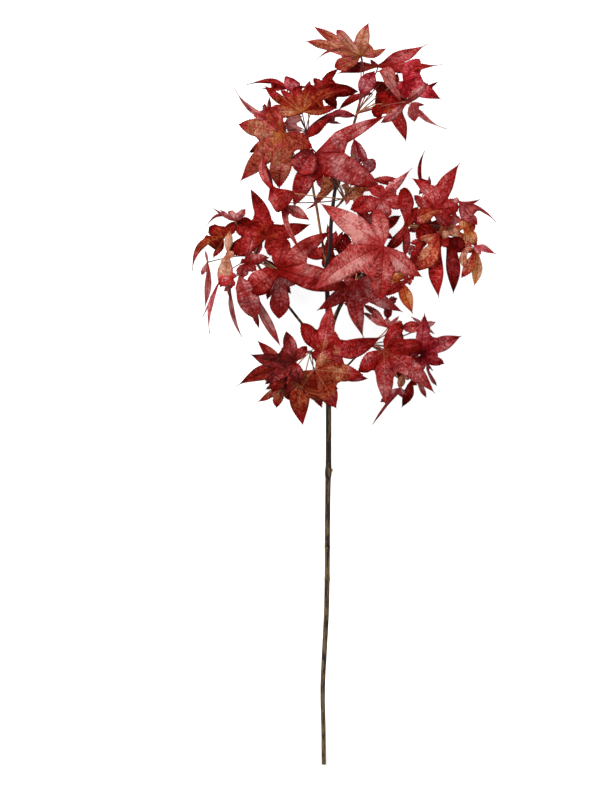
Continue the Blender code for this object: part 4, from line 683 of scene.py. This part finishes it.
        share = along / reach
        crumple = noise(points, 13.0, self.seed + 11) + 0.5 * noise(points, 6.0, self.seed + 13) - 0.75
        points[..., 2] += self.look.crumple_mm * crumple * smooth(share * 3.0)
        return k, side, points, share, across_share

    def rise_on_line(self, k, side, shares):
        """Rise of lobe k along the notch line at its side."""
        (along0, across0), _ = self.start(k, side)
        return self.heights(k, side, along0 * shares, side * across0 * shares)

    def colours(self, k, side, points, share, across_share):
        """A dye and a half tone for each face of a half lobe."""
        kind, reach = self.print, self.lobes[k].reach
        middle = (points[:-1, :-1] + points[1:, 1:]) / 2.0
        along = (share[:-1, :-1] + share[1:, 1:]) / 2.0
        out = (across_share[:-1, :-1] + across_share[1:, 1:]) / 2.0
        broad = noise(middle, 15.0, self.seed + 3) - 0.5
        fine = noise(middle, 4.5, self.seed + 5) - 0.5
        grain = noise(middle, 2.4, self.seed + 7) - 0.5
        speck = np.random.default_rng(self.seed * 20 + k * 2 + (side > 0)).random(middle.shape[:2]) - 0.5
        wobble = broad * 0.5 + fine * 0.35 + speck * 0.30
        # Painted highlight: a pale band down the middle of each lobe half marked as lit, a quarter as strong on the
        # other halves, stands in for light on the folded cloth; the speckle is stronger inside it.
        painted_lit_half = {"+": side > 0, "-": side < 0, "0": True, ".": False}[self.marks[k]]
        painted_highlight_share = smooth((along - 0.06) / 0.34) * (1.0 - smooth((along - 0.60) / 0.40)) * (1.0 - 0.5 * np.abs(out - 0.5))
        vein = np.cos((along * reach - out * 5.0) / self.VEIN_PITCH * 2.0 * math.pi) > 0.72
        tone = self.tone + self.lobe_tone[k] + kind.painted_sheen * painted_highlight_share * (1.0 if painted_lit_half else 0.25) * (1.0 + 1.2 * broad)
        tone = tone - 2.5 * np.maximum(out - 0.70, 0.0) - 4.5 * np.maximum(along - 0.78, 0.0) - 0.30 * vein
        tone = tone + broad * 2.0 + fine * 1.0 + grain * 1.0 + speck * (1.4 + 1.7 * painted_highlight_share)
        names = np.full(middle.shape[:2], kind.dye, dtype=object)
        if kind.flecks:
            names[fine * 1.2 + speck * 0.5 > 0.5 - kind.fleck_share] = kind.flecks
        heart = kind.heart_size - along - out * 0.12 + wobble * 0.5 > 0.0 if kind.heart else np.zeros_like(vein)
        tips = kind.tip_size - (1.0 - along) + wobble * 0.5 > 0.0 if kind.tips else np.zeros_like(vein)
        names[heart], names[tips] = kind.heart, kind.tips
        tone = tone + kind.heart_tone * heart + kind.tip_tone * tips
        tone[:, 0] += np.where(along[:, 0] < 0.93, kind.rib_tone, 0.0)
        return print_names(names, tone, self.shades)


def print_names(dyes, tones, shades):
    """The name of each face's material, from its dye and its tone, and how deep its leaf is in the shade."""
    steps = np.clip(np.rint(tones * 2.0), 0, HALF_TONES - 1).astype(int)
    return np.char.add(dyes.astype(str), np.char.mod("_%%02d_%d" % shades, steps)).astype(object)


def dye_colour(name):
    """The colour of a dye at a half tone, from a name such as red_07_1, whose last number brightens it with painted
    light for a leaf in the shade of others.
    """
    dye, step, shades = name.split("_")
    low, part = divmod(int(step), 2)
    tones = DYES[dye]
    high = tones[min(low + part, len(tones) - 1)]
    painted_light_gain = PAINTED_LIGHT_PER_PLUS ** int(shades)
    return tuple(painted_light_gain * (a + b) / 2.0 for a, b in zip(tones[low], high))


class Tally:
    """Vertices, faces and colour names gathered for one piece."""

    def __init__(self):
        self.points, self.faces, self.names, self.count = [], [], [], 0

    def add_grid(self, points, names, flip=False):
        """Adds a grid of points; names is one name, or one for each face."""
        rows, columns = points.shape[:2]
        index = np.arange(rows * columns).reshape(rows, columns) + self.count
        ring = [index[:-1, :-1], index[1:, :-1], index[1:, 1:], index[:-1, 1:]]
        if flip:
            ring = ring[::-1]
        faces = np.stack(ring, axis=-1).reshape(-1, 4)
        self.points.append(points.reshape(-1, 3))
        self.faces.append(faces)
        named = np.full(len(faces), names, dtype=object) if isinstance(names, str) else names.reshape(-1)
        self.names.append(named)
        self.count += rows * columns

    def to_object(self, name, material_of, weld, under_of=None):
        """Makes the piece, with a material slot for each colour name, and one more for each one's underside."""
        mesh = bpy.data.meshes.new(name)
        points = np.concatenate(self.points)
        faces = np.concatenate(self.faces)
        names = np.concatenate(self.names)
        mesh.from_pydata(points.tolist(), [], faces.tolist())
        used = sorted(set(names))
        for colour in used:
            mesh.materials.append(material_of(colour))
        for colour in used if under_of else ():
            mesh.materials.append(material_of(under_of(colour)))
        slot = {colour: n for n, colour in enumerate(used)}
        mesh.polygons.foreach_set("material_index", [slot[colour] for colour in names])
        work = bmesh.new()
        work.from_mesh(mesh)
        bmesh.ops.remove_doubles(work, verts=work.verts, dist=weld)
        bmesh.ops.dissolve_degenerate(work, edges=work.edges, dist=1e-7)
        work.to_mesh(mesh)
        work.free()
        mesh.shade_smooth()
        made = bpy.data.objects.new(name, mesh)
        bpy.context.scene.collection.objects.link(made)
        return made, len(used)


# Tubes: stalks, boughs and the stem

def arc(start, leave, arrive, end, pieces):
    """Points of a cubic curve between two places with its two handles."""
    t = np.linspace(0.0, 1.0, pieces + 1)[:, None]
    u = 1.0 - t
    return start * u**3 + leave * (3 * u * u * t) + arrive * (3 * u * t * t) + end * t**3


def flowing(points, spacing):
    """A smooth curve through points, with a point about every `spacing`; extra columns follow along."""
    points = np.asarray(points, float)
    ends = np.concatenate((2 * points[:1] - points[1:2], points, 2 * points[-1:] - points[-2:-1]))
    made = []
    for n in range(len(points) - 1):
        a, b, c, d = ends[n: n + 4]
        count = max(1, round(np.linalg.norm(c[:3] - b[:3]) / spacing))
        t = (np.arange(count) / count)[:, None]
        made.append(0.5 * (2 * b + (c - a) * t + (2 * a - 5 * b + 4 * c - d) * t**2
                           + (3 * b - a - 3 * c + d) * t**3))
    return np.concatenate(made + [points[-1:]])


def frames(centres):
    """Two unit vectors square to a line at each of its points, which turn as little as they can."""
    ahead = np.gradient(centres, axis=0)
    ahead /= np.linalg.norm(ahead, axis=1, keepdims=True)
    side = np.cross(ahead[0], (0.0, 0.0, 1.0))
    if np.linalg.norm(side) < 1e-3:
        side = np.cross(ahead[0], (1.0, 0.0, 0.0))
    sides, ups = [], []
    for direction in ahead:
        side = side - direction * (side @ direction)
        side = side / np.linalg.norm(side)
        sides.append(side)
        ups.append(np.cross(side, direction))
    return np.array(sides), np.array(ups)


def sweep(centres, radii, sides, relief=None):
    """A closed tube in mm as a grid of rings, with its ends drawn in; relief changes each point's radius."""
    across, up = frames(centres)
    angle = np.arange(sides + 1) / sides * 2.0 * math.pi
    radii = np.repeat(np.asarray(radii, float)[:, None], sides + 1, axis=1)
    if relief is not None:
        radii = radii + relief(centres, angle)
    ring = (np.cos(angle)[None, :, None] * across[:, None, :] + np.sin(angle)[None, :, None] * up[:, None, :])
    points = centres[:, None, :] + ring * radii[..., None]
    points[:, -1] = points[:, 0]
    caps = [np.repeat(centres[end][None, None, :], sides + 1, axis=1) for end in (0, -1)]
    return np.concatenate((caps[0], points, caps[1])), angle


def unit(vector):
    return vector / max(np.linalg.norm(vector), 1e-9)


# Materials

def shader_group(name, inputs, outputs):
    """An empty shader node group with its sockets, and its two ends."""
    tree = bpy.data.node_groups.new(name, "ShaderNodeTree")
    for socket, kind, value in inputs:
        made = tree.interface.new_socket(socket, in_out="INPUT", socket_type=kind)
        made.default_value = value
    for socket, kind in outputs:
        tree.interface.new_socket(socket, in_out="OUTPUT", socket_type=kind)
    start, end = tree.nodes.new("NodeGroupInput"), tree.nodes.new("NodeGroupOutput")
    start.location, end.location = (-900, 0), (500, 0)
    return tree, start, end


def math_node(tree, operation, first, second=None):
    node = tree.nodes.new("ShaderNodeMath")
    node.operation = operation
    for socket, value in zip(node.inputs, (first, second)):
        if value is None:
            continue
        if isinstance(value, (int, float)):
            socket.default_value = value
        else:
            tree.links.new(value, socket)
    return node.outputs[0]


def noise_node(tree, vector, scale, detail, roughness):
    node = tree.nodes.new("ShaderNodeTexNoise")
    node.inputs["Scale"].default_value = scale
    node.inputs["Detail"].default_value = detail
    node.inputs["Roughness"].default_value = roughness
    tree.links.new(vector, node.inputs["Vector"])
    return node.outputs["Fac"]


def printed_cloth_group():
    """Uneven dye with pale flecks, and the weave of thin cloth: a colour, a roughness and a height."""
    tree, start, end = shader_group(
        "PrintedCloth",
        (("Color", "NodeSocketColor", (0.4, 0.05, 0.05, 1.0)), ("Fleck", "NodeSocketColor", (0.6, 0.3, 0.3, 1.0)),
         ("Mottle", "NodeSocketFloat", 0.35), ("Roughness", "NodeSocketFloat", 0.6)),
        (("Color", "NodeSocketColor"), ("Roughness", "NodeSocketFloat"), ("Height", "NodeSocketFloat")),
    )
    at = tree.nodes.new("ShaderNodeTexCoord").outputs["Object"]
    blot = noise_node(tree, at, 260.0, 3.0, 0.65)
    speck = noise_node(tree, at, 1100.0, 2.0, 0.7)
    centred = math_node(tree, "SUBTRACT", blot, 0.5)
    swing = math_node(tree, "MULTIPLY", centred, start.outputs["Mottle"])
    value = math_node(tree, "ADD", math_node(tree, "MULTIPLY", swing, 4.0), 1.0)
    hue = tree.nodes.new("ShaderNodeHueSaturation")
    tree.links.new(start.outputs["Color"], hue.inputs["Color"])
    tree.links.new(value, hue.inputs["Value"])
    lift = math_node(tree, "MULTIPLY", math_node(tree, "SUBTRACT", speck, 0.50), 5.0)
    lift = math_node(tree, "ADD", lift, math_node(tree, "MULTIPLY", centred, 2.0))
    amount = tree.nodes.new("ShaderNodeClamp")
    tree.links.new(lift, amount.inputs["Value"])
    fleck = tree.nodes.new("ShaderNodeMix")
    fleck.data_type = "RGBA"
    tree.links.new(math_node(tree, "MULTIPLY", amount.outputs[0], start.outputs["Mottle"]), fleck.inputs["Factor"])
    tree.links.new(hue.outputs["Color"], fleck.inputs["A"])
    tree.links.new(start.outputs["Fleck"], fleck.inputs["B"])
    tree.links.new(fleck.outputs["Result"], end.inputs["Color"])
    rough = math_node(tree, "ADD", start.outputs["Roughness"], math_node(tree, "MULTIPLY", centred, 0.3))
    tree.links.new(rough, end.inputs["Roughness"])
    threads = []
    for direction in ("X", "Y"):
        wave = tree.nodes.new("ShaderNodeTexWave")
        wave.bands_direction = direction
        wave.inputs["Scale"].default_value = 620.0
        wave.inputs["Distortion"].default_value = 1.5
        tree.links.new(at, wave.inputs["Vector"])
        threads.append(wave.outputs["Fac"])
    weave = math_node(tree, "MAXIMUM", *threads)
    height = math_node(tree, "ADD", math_node(tree, "MULTIPLY", weave, 0.4), math_node(tree, "MULTIPLY", blot, 1.0))
    tree.links.new(height, end.inputs["Height"])
    return tree


def coated_wire_group():
    """Moulded bark on plastic: streaks along the wire, and a fine grain."""
    tree, start, end = shader_group(
        "CoatedWire",
        (("Color", "NodeSocketColor", (0.1, 0.08, 0.05, 1.0)), ("Streak", "NodeSocketFloat", 0.5),
         ("Roughness", "NodeSocketFloat", 0.5)),
        (("Color", "NodeSocketColor"), ("Roughness", "NodeSocketFloat"), ("Height", "NodeSocketFloat")),
    )
    at = tree.nodes.new("ShaderNodeTexCoord").outputs["Object"]
    stretch = tree.nodes.new("ShaderNodeMapping")
    stretch.inputs["Scale"].default_value = (1.0, 0.12, 1.0)
    tree.links.new(at, stretch.inputs["Vector"])
    streak = noise_node(tree, stretch.outputs["Vector"], 1100.0, 4.0, 0.6)
    grain = noise_node(tree, at, 2400.0, 2.0, 0.5)
    centred = math_node(tree, "SUBTRACT", streak, 0.5)
    swing = math_node(tree, "MULTIPLY", centred, start.outputs["Streak"])
    value = math_node(tree, "ADD", math_node(tree, "MULTIPLY", swing, 3.0), 1.0)
    hue = tree.nodes.new("ShaderNodeHueSaturation")
    tree.links.new(start.outputs["Color"], hue.inputs["Color"])
    tree.links.new(value, hue.inputs["Value"])
    tree.links.new(hue.outputs["Color"], end.inputs["Color"])
    rough = math_node(tree, "ADD", start.outputs["Roughness"], math_node(tree, "MULTIPLY", centred, 0.4))
    tree.links.new(rough, end.inputs["Roughness"])
    height = math_node(tree, "ADD", math_node(tree, "MULTIPLY", streak, 0.7), math_node(tree, "MULTIPLY", grain, 0.3))
    tree.links.new(height, end.inputs["Height"])
    return tree


def finished_material(name, group, values, relief, specular):
    """A material whose colour, roughness and relief come from one of the shared groups."""
    if name in bpy.data.materials:
        return bpy.data.materials[name]
    material = bpy.data.materials.new(name)
    material.use_nodes = True
    tree = material.node_tree
    shader = tree.nodes["Principled BSDF"]
    effect = tree.nodes.new("ShaderNodeGroup")
    effect.node_tree = group
    effect.location = (-500, 0)
    for socket, value in values.items():
        effect.inputs[socket].default_value = value
    bump = tree.nodes.new("ShaderNodeBump")
    bump.location = (-250, -200)
    bump.inputs["Strength"].default_value = 0.5
    bump.inputs["Distance"].default_value = relief
    tree.links.new(effect.outputs["Color"], shader.inputs["Base Color"])
    tree.links.new(effect.outputs["Roughness"], shader.inputs["Roughness"])
    tree.links.new(effect.outputs["Height"], bump.inputs["Height"])
    tree.links.new(bump.outputs["Normal"], shader.inputs["Normal"])
    shader.inputs["Specular IOR Level"].default_value = specular
    return material


def shared_group(name, maker):
    """The named node group, made the first time it is asked for."""
    return bpy.data.node_groups.get(name) or maker()


def cloth_material(look, name):
    """The material of a dye at a half tone, with flecks of a paler one."""
    group = shared_group("PrintedCloth", printed_cloth_group)
    colour = [value * look.brightness for value in dye_colour(name)]
    pale = [value * FLECK + 0.002 for value in colour]
    values = {"Color": (*colour, 1.0), "Fleck": (*pale, 1.0), "Mottle": look.mottle, "Roughness": look.roughness}
    return finished_material("cloth_" + name, group, values, 0.00015, look.gloss)


def coat_material(look, name):
    """The material of one colour of the wire's coat."""
    group = shared_group("CoatedWire", coated_wire_group)
    colour = [value * look.brightness for value in COAT[name]]
    values = {"Color": (*colour, 1.0), "Streak": look.streak, "Roughness": look.roughness}
    return finished_material("coat_" + name, group, values, 0.0003, look.gloss)


# How much paler than the cloth its flecks are.
FLECK = 1.7
UNDERSIDE_HALF_TONES = 4


def underside(name):
    """The side of the cloth that faces down is paler, with less dye."""
    dye, step, shades = name.split("_")
    return "%s_%02d_%s" % (dye, min(int(step) + UNDERSIDE_HALF_TONES, HALF_TONES - 1), shades)


# Settings that a user would change

class MapleLeafSettings(bpy.types.PropertyGroup):
    """Sizes and print of the leaves."""

    row_mm: FloatProperty(name="Row", description="Length of a face along a lobe, in mm", default=1.25, min=0.5)
    columns: IntProperty(name="Columns", description="Faces between a midrib and its margin", default=6, min=3)
    rib_mm: FloatProperty(name="Midrib", description="Half the width of a printed midrib, in mm", default=0.42)
    tooth_mm: FloatProperty(name="Tooth", description="Height of a tooth of the margin, in mm", default=0.55)
    ripple_mm: FloatProperty(name="Ripple", description="Wave of the margin, in mm", default=1.3)
    cup_mm: FloatProperty(name="Cup", description="How far the margin turns down, in mm", default=1.6)
    crumple_mm: FloatProperty(name="Crumple", description="Height of the creases of the cloth, in mm", default=3.0)
    cloth: FloatProperty(
        name="Cloth", description="Thickness of the cloth", default=0.0004, subtype="DISTANCE", unit="LENGTH")
    brightness: FloatProperty(name="Brightness", description="Lightens or darkens the print", default=0.26)
    mottle: FloatProperty(name="Mottle", description="Unevenness of the dye", default=0.20, subtype="FACTOR")
    roughness: FloatProperty(name="Roughness", description="Roughness of the cloth", default=0.6, subtype="FACTOR")
    gloss: FloatProperty(name="Gloss", description="Gloss of the cloth", default=0.005, subtype="FACTOR")


class MapleStemSettings(bpy.types.PropertyGroup):
    """Sizes and finish of the stem, boughs and stalks."""

    stem_sides: IntProperty(name="Stem sides", description="Faces round the stem", default=28, min=8)
    bough_sides: IntProperty(name="Bough sides", description="Faces round a bough", default=16, min=6)
    stalk_sides: IntProperty(name="Stalk sides", description="Faces round a stalk", default=8, min=4)
    spacing_mm: FloatProperty(name="Ring", description="Length of a face along the stem, in mm", default=1.8)
    ridge_mm: FloatProperty(name="Ridge", description="Height of the bark's ridges, in mm", default=0.16)
    stalk_mm: FloatProperty(name="Stalk", description="Radius of a leaf's stalk, in mm", default=0.72)
    brightness: FloatProperty(name="Brightness", description="Lightens or darkens the coat", default=0.45)
    streak: FloatProperty(name="Streak", description="Strength of the streaks", default=0.4, subtype="FACTOR")
    roughness: FloatProperty(name="Roughness", description="Roughness of the coat", default=0.5, subtype="FACTOR")
    gloss: FloatProperty(name="Gloss", description="Gloss of the coat", default=0.08, subtype="FACTOR")


class MapleStageSettings(bpy.types.PropertyGroup):
    """The floor and the light."""

    floor_colour: FloatVectorProperty(
        name="Floor", description="Colour of the floor", default=(0.25, 0.25, 0.25), size=3, subtype="COLOR")
    floor_glow: FloatProperty(name="Glow", description="Light that the floor gives off", default=0.62)
    key_power: FloatProperty(name="Key", description="Power of the key light", default=1100.0, subtype="POWER")
    fill_power: FloatProperty(name="Fill", description="Power of the fill light", default=160.0, subtype="POWER")
    air: FloatProperty(name="Air", description="Strength of the light from all round", default=1.0)


# Pieces

def bark_relief(look, seed):
    """A function that gives the height of the bark's ridges, which run along the wire."""
    def relief(centres, angle):
        around = np.stack((np.cos(angle) * 3.0, np.sin(angle) * 3.0), axis=-1)
        run = np.concatenate(([0.0], np.cumsum(np.linalg.norm(np.diff(centres, axis=0), axis=1))))
        grid = np.concatenate((
            np.repeat(around[None], len(run), axis=0),
            np.repeat((run * 0.09)[:, None, None], len(angle), axis=1),
        ), axis=-1)
        fine = np.concatenate((grid[..., :2], grid[..., 2:] * 3.0), axis=-1)
        return look.ridge_mm * (noise(grid, 1.1, seed) - 0.5 + 0.5 * (noise(fine, 0.6, seed + 1) - 0.5))

    return relief


def coat_names(points, base, seed):
    """A coat colour for each face: streaks of darker colour along the wire, on the colours that base gives."""
    middle = (points[:-1, :-1] + points[1:, 1:]) / 2.0
    streak = noise(middle * np.array((1.0, 0.05, 1.0)), 1.6, seed)
    speck = noise(middle * np.array((1.0, 0.45, 1.0)), 1.1, seed + 9)
    return base(middle[..., 1], streak + 0.4 * (speck - 0.5))


def stem_base(along, streak):
    """Khaki by the cut end, then umber, and nearly black above, with dark streaks."""
    depth = smooth((along - 200.0) / 420.0)
    names = np.full(along.shape, "drab", dtype=object)
    names[streak > 0.50 + 0.50 * depth] = "khaki"
    names[streak < 0.40 + 0.50 * depth] = "umber"
    names[streak < 0.30 + 0.52 * depth] = "soot"
    names[(streak < 0.85 * depth - 0.18)] = "aubergine"
    return names


def bough_base(along, streak):
    """Nearly black, with brown streaks."""
    names = np.full(along.shape, "aubergine", dtype=object)
    names[streak > 0.52] = "umber"
    names[streak < 0.36] = "soot"
    names[streak > 0.70] = "stalk_tan"
    return names


PALE_BOUGHS = ("upper_left_bough",)


def pale_bough_base(along, streak):
    """Olive brown, with darker streaks, as the upper left bough is."""
    names = np.full(along.shape, "khaki", dtype=object)
    names[streak > 0.50] = "stalk_tan"
    names[streak < 0.42] = "umber"
    return names


def stem_centres():
    return np.array([(across, along, stem_height(along), radius) for across, along, radius in STEM])


def to_metres(points):
    return points * MM - np.array((MIDDLE_ACROSS, MIDDLE_ALONG, 0.0))


class MAPLE_OT_stem(bpy.types.Operator):
    """The stem with its bark, collars and bud"""

    bl_idname = "maple.stem"
    bl_label = "Stem"

    def execute(self, context):
        look = context.scene.maple_stem
        coat = partial(coat_material, look)
        tally = Tally()
        line = flowing(stem_centres(), look.spacing_mm)
        points, _ = sweep(line[:, :3], line[:, 3], look.stem_sides, bark_relief(look, 11))
        tally.add_grid(to_metres(points), coat_names(points, stem_base, 21))
        bud = np.array([(across, along, stem_height(along), radius) for across, along, radius in BUD])
        line = flowing(bud, 0.6)
        points, _ = sweep(line[:, :3], line[:, 3], look.bough_sides)
        tally.add_grid(to_metres(points), "bud")
        piece, _ = tally.to_object("stem_bark", coat, 1e-6)
        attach(piece, BODY)
        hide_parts("stem")
        return {"FINISHED"}


class MAPLE_OT_boughs(bpy.types.Operator):
    """The side boughs, from the stem's surface to their masses"""

    bl_idname = "maple.boughs"
    bl_label = "Boughs"

    def execute(self, context):
        look = context.scene.maple_stem
        coat = partial(coat_material, look)
        for seed, (name, route) in enumerate(BOUGHS.items()):
            tally = Tally()
            line = flowing(np.array(route), look.spacing_mm)
            points, _ = sweep(line[:, :3], line[:, 3], look.bough_sides, bark_relief(look, 31 + seed))
            base = pale_bough_base if name in PALE_BOUGHS else bough_base
            tally.add_grid(to_metres(points), coat_names(points, base, 51 + seed))
            piece, _ = tally.to_object(name + "_bark", coat, 1e-6)
            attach(piece, BODY)
            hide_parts(name)
        return {"FINISHED"}


class MAPLE_OT_foliage(bpy.types.Operator):
    """The leaves of each mass, and the bundle of stalks that carries them"""

    bl_idname = "maple.foliage"
    bl_label = "Foliage"

    def execute(self, context):
        leaf_look, wire_look = context.scene.maple_leaf, context.scene.maple_stem
        cloth, coat = partial(cloth_material, leaf_look), partial(coat_material, wire_look)
        for number, (name, mass) in enumerate(MASSES.items()):
            self.make_mass(name, mass, number, leaf_look, wire_look, cloth, coat)
        return {"FINISHED"}

    def make_mass(self, name, mass, number, leaf_look, wire_look, cloth, coat):
        chance = random.Random(name)
        route = stem_centres()[:, :3] if mass.limb == "stem" else np.array(BOUGHS[mass.limb])[:, :3]
        ahead = unit(route[-1] - route[-2])
        start = route[-1] - ahead * 1.0
        knot = np.array(mass.knot, float)
        leaves, stalks = Tally(), Tally()
        for index, leaf in enumerate(mass.leaves):
            blade = Blade(leaf, leaf_look, chance, number * 100 + index)
            for k, side, points, share, across_share in blade.grids():
                leaves.add_grid(
                    to_metres(points), blade.colours(k, side, points, share, across_share), flip=side < 0)
            wander = np.array([chance.uniform(-0.12, 0.12) for _ in range(3)])
            self.add_stalk(stalks, blade, start, ahead, knot, wander, index, wire_look)
        piece, tops = leaves.to_object(name + "_leaves", cloth, 2e-6, underside)
        cloth_of = piece.modifiers.new("cloth", "SOLIDIFY")
        cloth_of.thickness = leaf_look.cloth
        cloth_of.offset = 0.0
        cloth_of.material_offset = tops
        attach(piece, BODY)
        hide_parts(name)
        wires, _ = stalks.to_object(name + "_stalks", coat, 1e-6)
        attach(wires, BODY)
        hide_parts(name)

    def add_stalk(self, stalks, blade, start, ahead, knot, wander, index, look):
        """One stalk: in the bundle as far as the knot, then in its own curve up under its blade's foot."""
        lobes = blade.lobes
        gap = (lobes[0].bearing - lobes[-1].bearing) % 360.0 or 360.0
        outward = towards(lobes[-1].bearing + gap / 2.0)
        plan = np.array((*outward, 0.0))
        end = blade.foot - plan * 0.8 - np.array((0.0, 0.0, 0.35))
        run = np.linalg.norm(end - knot)
        turn = index * 2.4
        across = unit(np.cross(ahead, (0.0, 0.0, 1.0)))
        up = np.cross(across, ahead)
        offset = (across * math.cos(turn) + up * math.sin(turn)) * look.stalk_mm * 1.3
        first = np.linspace(0.0, 1.0, 7)[:-1, None]
        bundle = (start + offset) * (1 - first) + (knot + offset) * first
        leave = knot + offset + (end - knot) * 0.30 + wander * run + ahead * min(6.0, 0.15 * run)
        arrive = end + unit(plan * 0.5 - np.array((0.0, 0.0, 1.0))) * min(0.3 * run, 12.0)
        own = arc(knot + offset, leave, arrive, end, 22)
        centres = flowing(np.concatenate((bundle, own)), 2.0)
        radii = np.full(len(centres), look.stalk_mm)
        radii[-4:] = look.stalk_mm * np.array((1.0, 1.15, 1.35, 1.1))
        points, _ = sweep(centres, radii, look.stalk_sides)
        names = ("stalk_maroon", "stalk_tan", "stalk_tan", "stalk_maroon", "khaki")
        stalks.add_grid(to_metres(points), names[(index * 3 + len(lobes)) % len(names)])


class MAPLE_OT_stage(bpy.types.Operator):
    """A pale floor, soft light, and a camera that looks straight down"""

    bl_idname = "maple.stage"
    bl_label = "Stage"

    def execute(self, context):
        look = context.scene.maple_stage
        context.scene.view_settings.view_transform = "Standard"
        self.make_floor(look)
        self.make_lights(look)
        self.make_camera(context)
        return {"FINISHED"}

    def make_floor(self, look):
        bpy.ops.mesh.primitive_plane_add(size=12.0, location=(0.0, 0.0, -0.0005))
        floor = bpy.context.object
        floor.name = "floor"
        material = bpy.data.materials.new("floor_white")
        material.use_nodes = True
        shader = material.node_tree.nodes["Principled BSDF"]
        shader.inputs["Base Color"].default_value = (*look.floor_colour, 1.0)
        shader.inputs["Roughness"].default_value = 0.9
        shader.inputs["Specular IOR Level"].default_value = 0.1
        shader.inputs["Emission Color"].default_value = (1.0, 1.0, 1.0, 1.0)
        shader.inputs["Emission Strength"].default_value = look.floor_glow
        floor.data.materials.append(material)

    def make_lights(self, look):
        world = bpy.data.worlds.new("air")
        world.use_nodes = True
        world.node_tree.nodes["Background"].inputs["Color"].default_value = (1.0, 1.0, 1.0, 1.0)
        world.node_tree.nodes["Background"].inputs["Strength"].default_value = look.air
        bpy.context.scene.world = world
        for name, place_at, power, size in (
            ("key", (-2.6, 2.8, 3.0), look.key_power, 3.0),
            ("fill", (2.8, -1.6, 3.2), look.fill_power, 3.0),
        ):
            lamp = bpy.data.lights.new(name, "AREA")
            lamp.energy = power
            lamp.size = size
            made = bpy.data.objects.new(name, lamp)
            made.location = place_at
            made.rotation_euler = (Vector((0.0, 0.1, 0.05)) - made.location).to_track_quat("-Z", "Y").to_euler()
            bpy.context.scene.collection.objects.link(made)

    def make_camera(self, context):
        width, height = IMAGE_SIZE
        lens = bpy.data.cameras.new("view")
        lens.sensor_width = SENSOR
        lens.lens = SENSOR * (CAMERA_HEIGHT - LEAF_LEVEL) / (max(width, height) * PIXEL)
        camera = bpy.data.objects.new("view", lens)
        camera.location = (
            (width / 2 - STEM_FOOT_PIXEL[0]) * PIXEL - MIDDLE_ACROSS,
            (STEM_FOOT_PIXEL[1] - height / 2) * PIXEL - MIDDLE_ALONG,
            CAMERA_HEIGHT,
        )
        context.scene.collection.objects.link(camera)
        context.scene.camera = camera


class MAPLE_PT_panel(bpy.types.Panel):
    """The pieces of the spray and their settings"""

    bl_idname = "MAPLE_PT_panel"
    bl_label = "Maple Spray"
    bl_space_type = "VIEW_3D"
    bl_region_type = "UI"
    bl_category = "Maple Spray"

    def draw(self, context):
        for group, operators in PANEL_ROWS:
            column = self.layout.column(align=True)
            look = getattr(context.scene, group)
            for name in look.bl_rna.properties.keys():
                if name not in ("rna_type", "name"):
                    column.prop(look, name)
            for operator in operators:
                column.operator(operator)


PANEL_ROWS = (
    ("maple_stem", ("maple.stem", "maple.boughs")),
    ("maple_leaf", ("maple.foliage",)),
    ("maple_stage", ("maple.stage",)),
)
SETTINGS = {
    "maple_leaf": MapleLeafSettings,
    "maple_stem": MapleStemSettings,
    "maple_stage": MapleStageSettings,
}
CLASSES = (*SETTINGS.values(), MAPLE_OT_stem, MAPLE_OT_boughs, MAPLE_OT_foliage, MAPLE_OT_stage, MAPLE_PT_panel)


def register():
    for cls in CLASSES:
        bpy.utils.register_class(cls)
    for name, cls in SETTINGS.items():
        setattr(bpy.types.Scene, name, PointerProperty(type=cls))


def unregister():
    for name in SETTINGS:
        delattr(bpy.types.Scene, name)
    for cls in reversed(CLASSES):
        bpy.utils.unregister_class(cls)


def main():
    register()
    bpy.ops.maple.stage()
    bpy.ops.maple.stem()
    bpy.ops.maple.boughs()
    bpy.ops.maple.foliage()


if __name__ == "__main__":
    main()
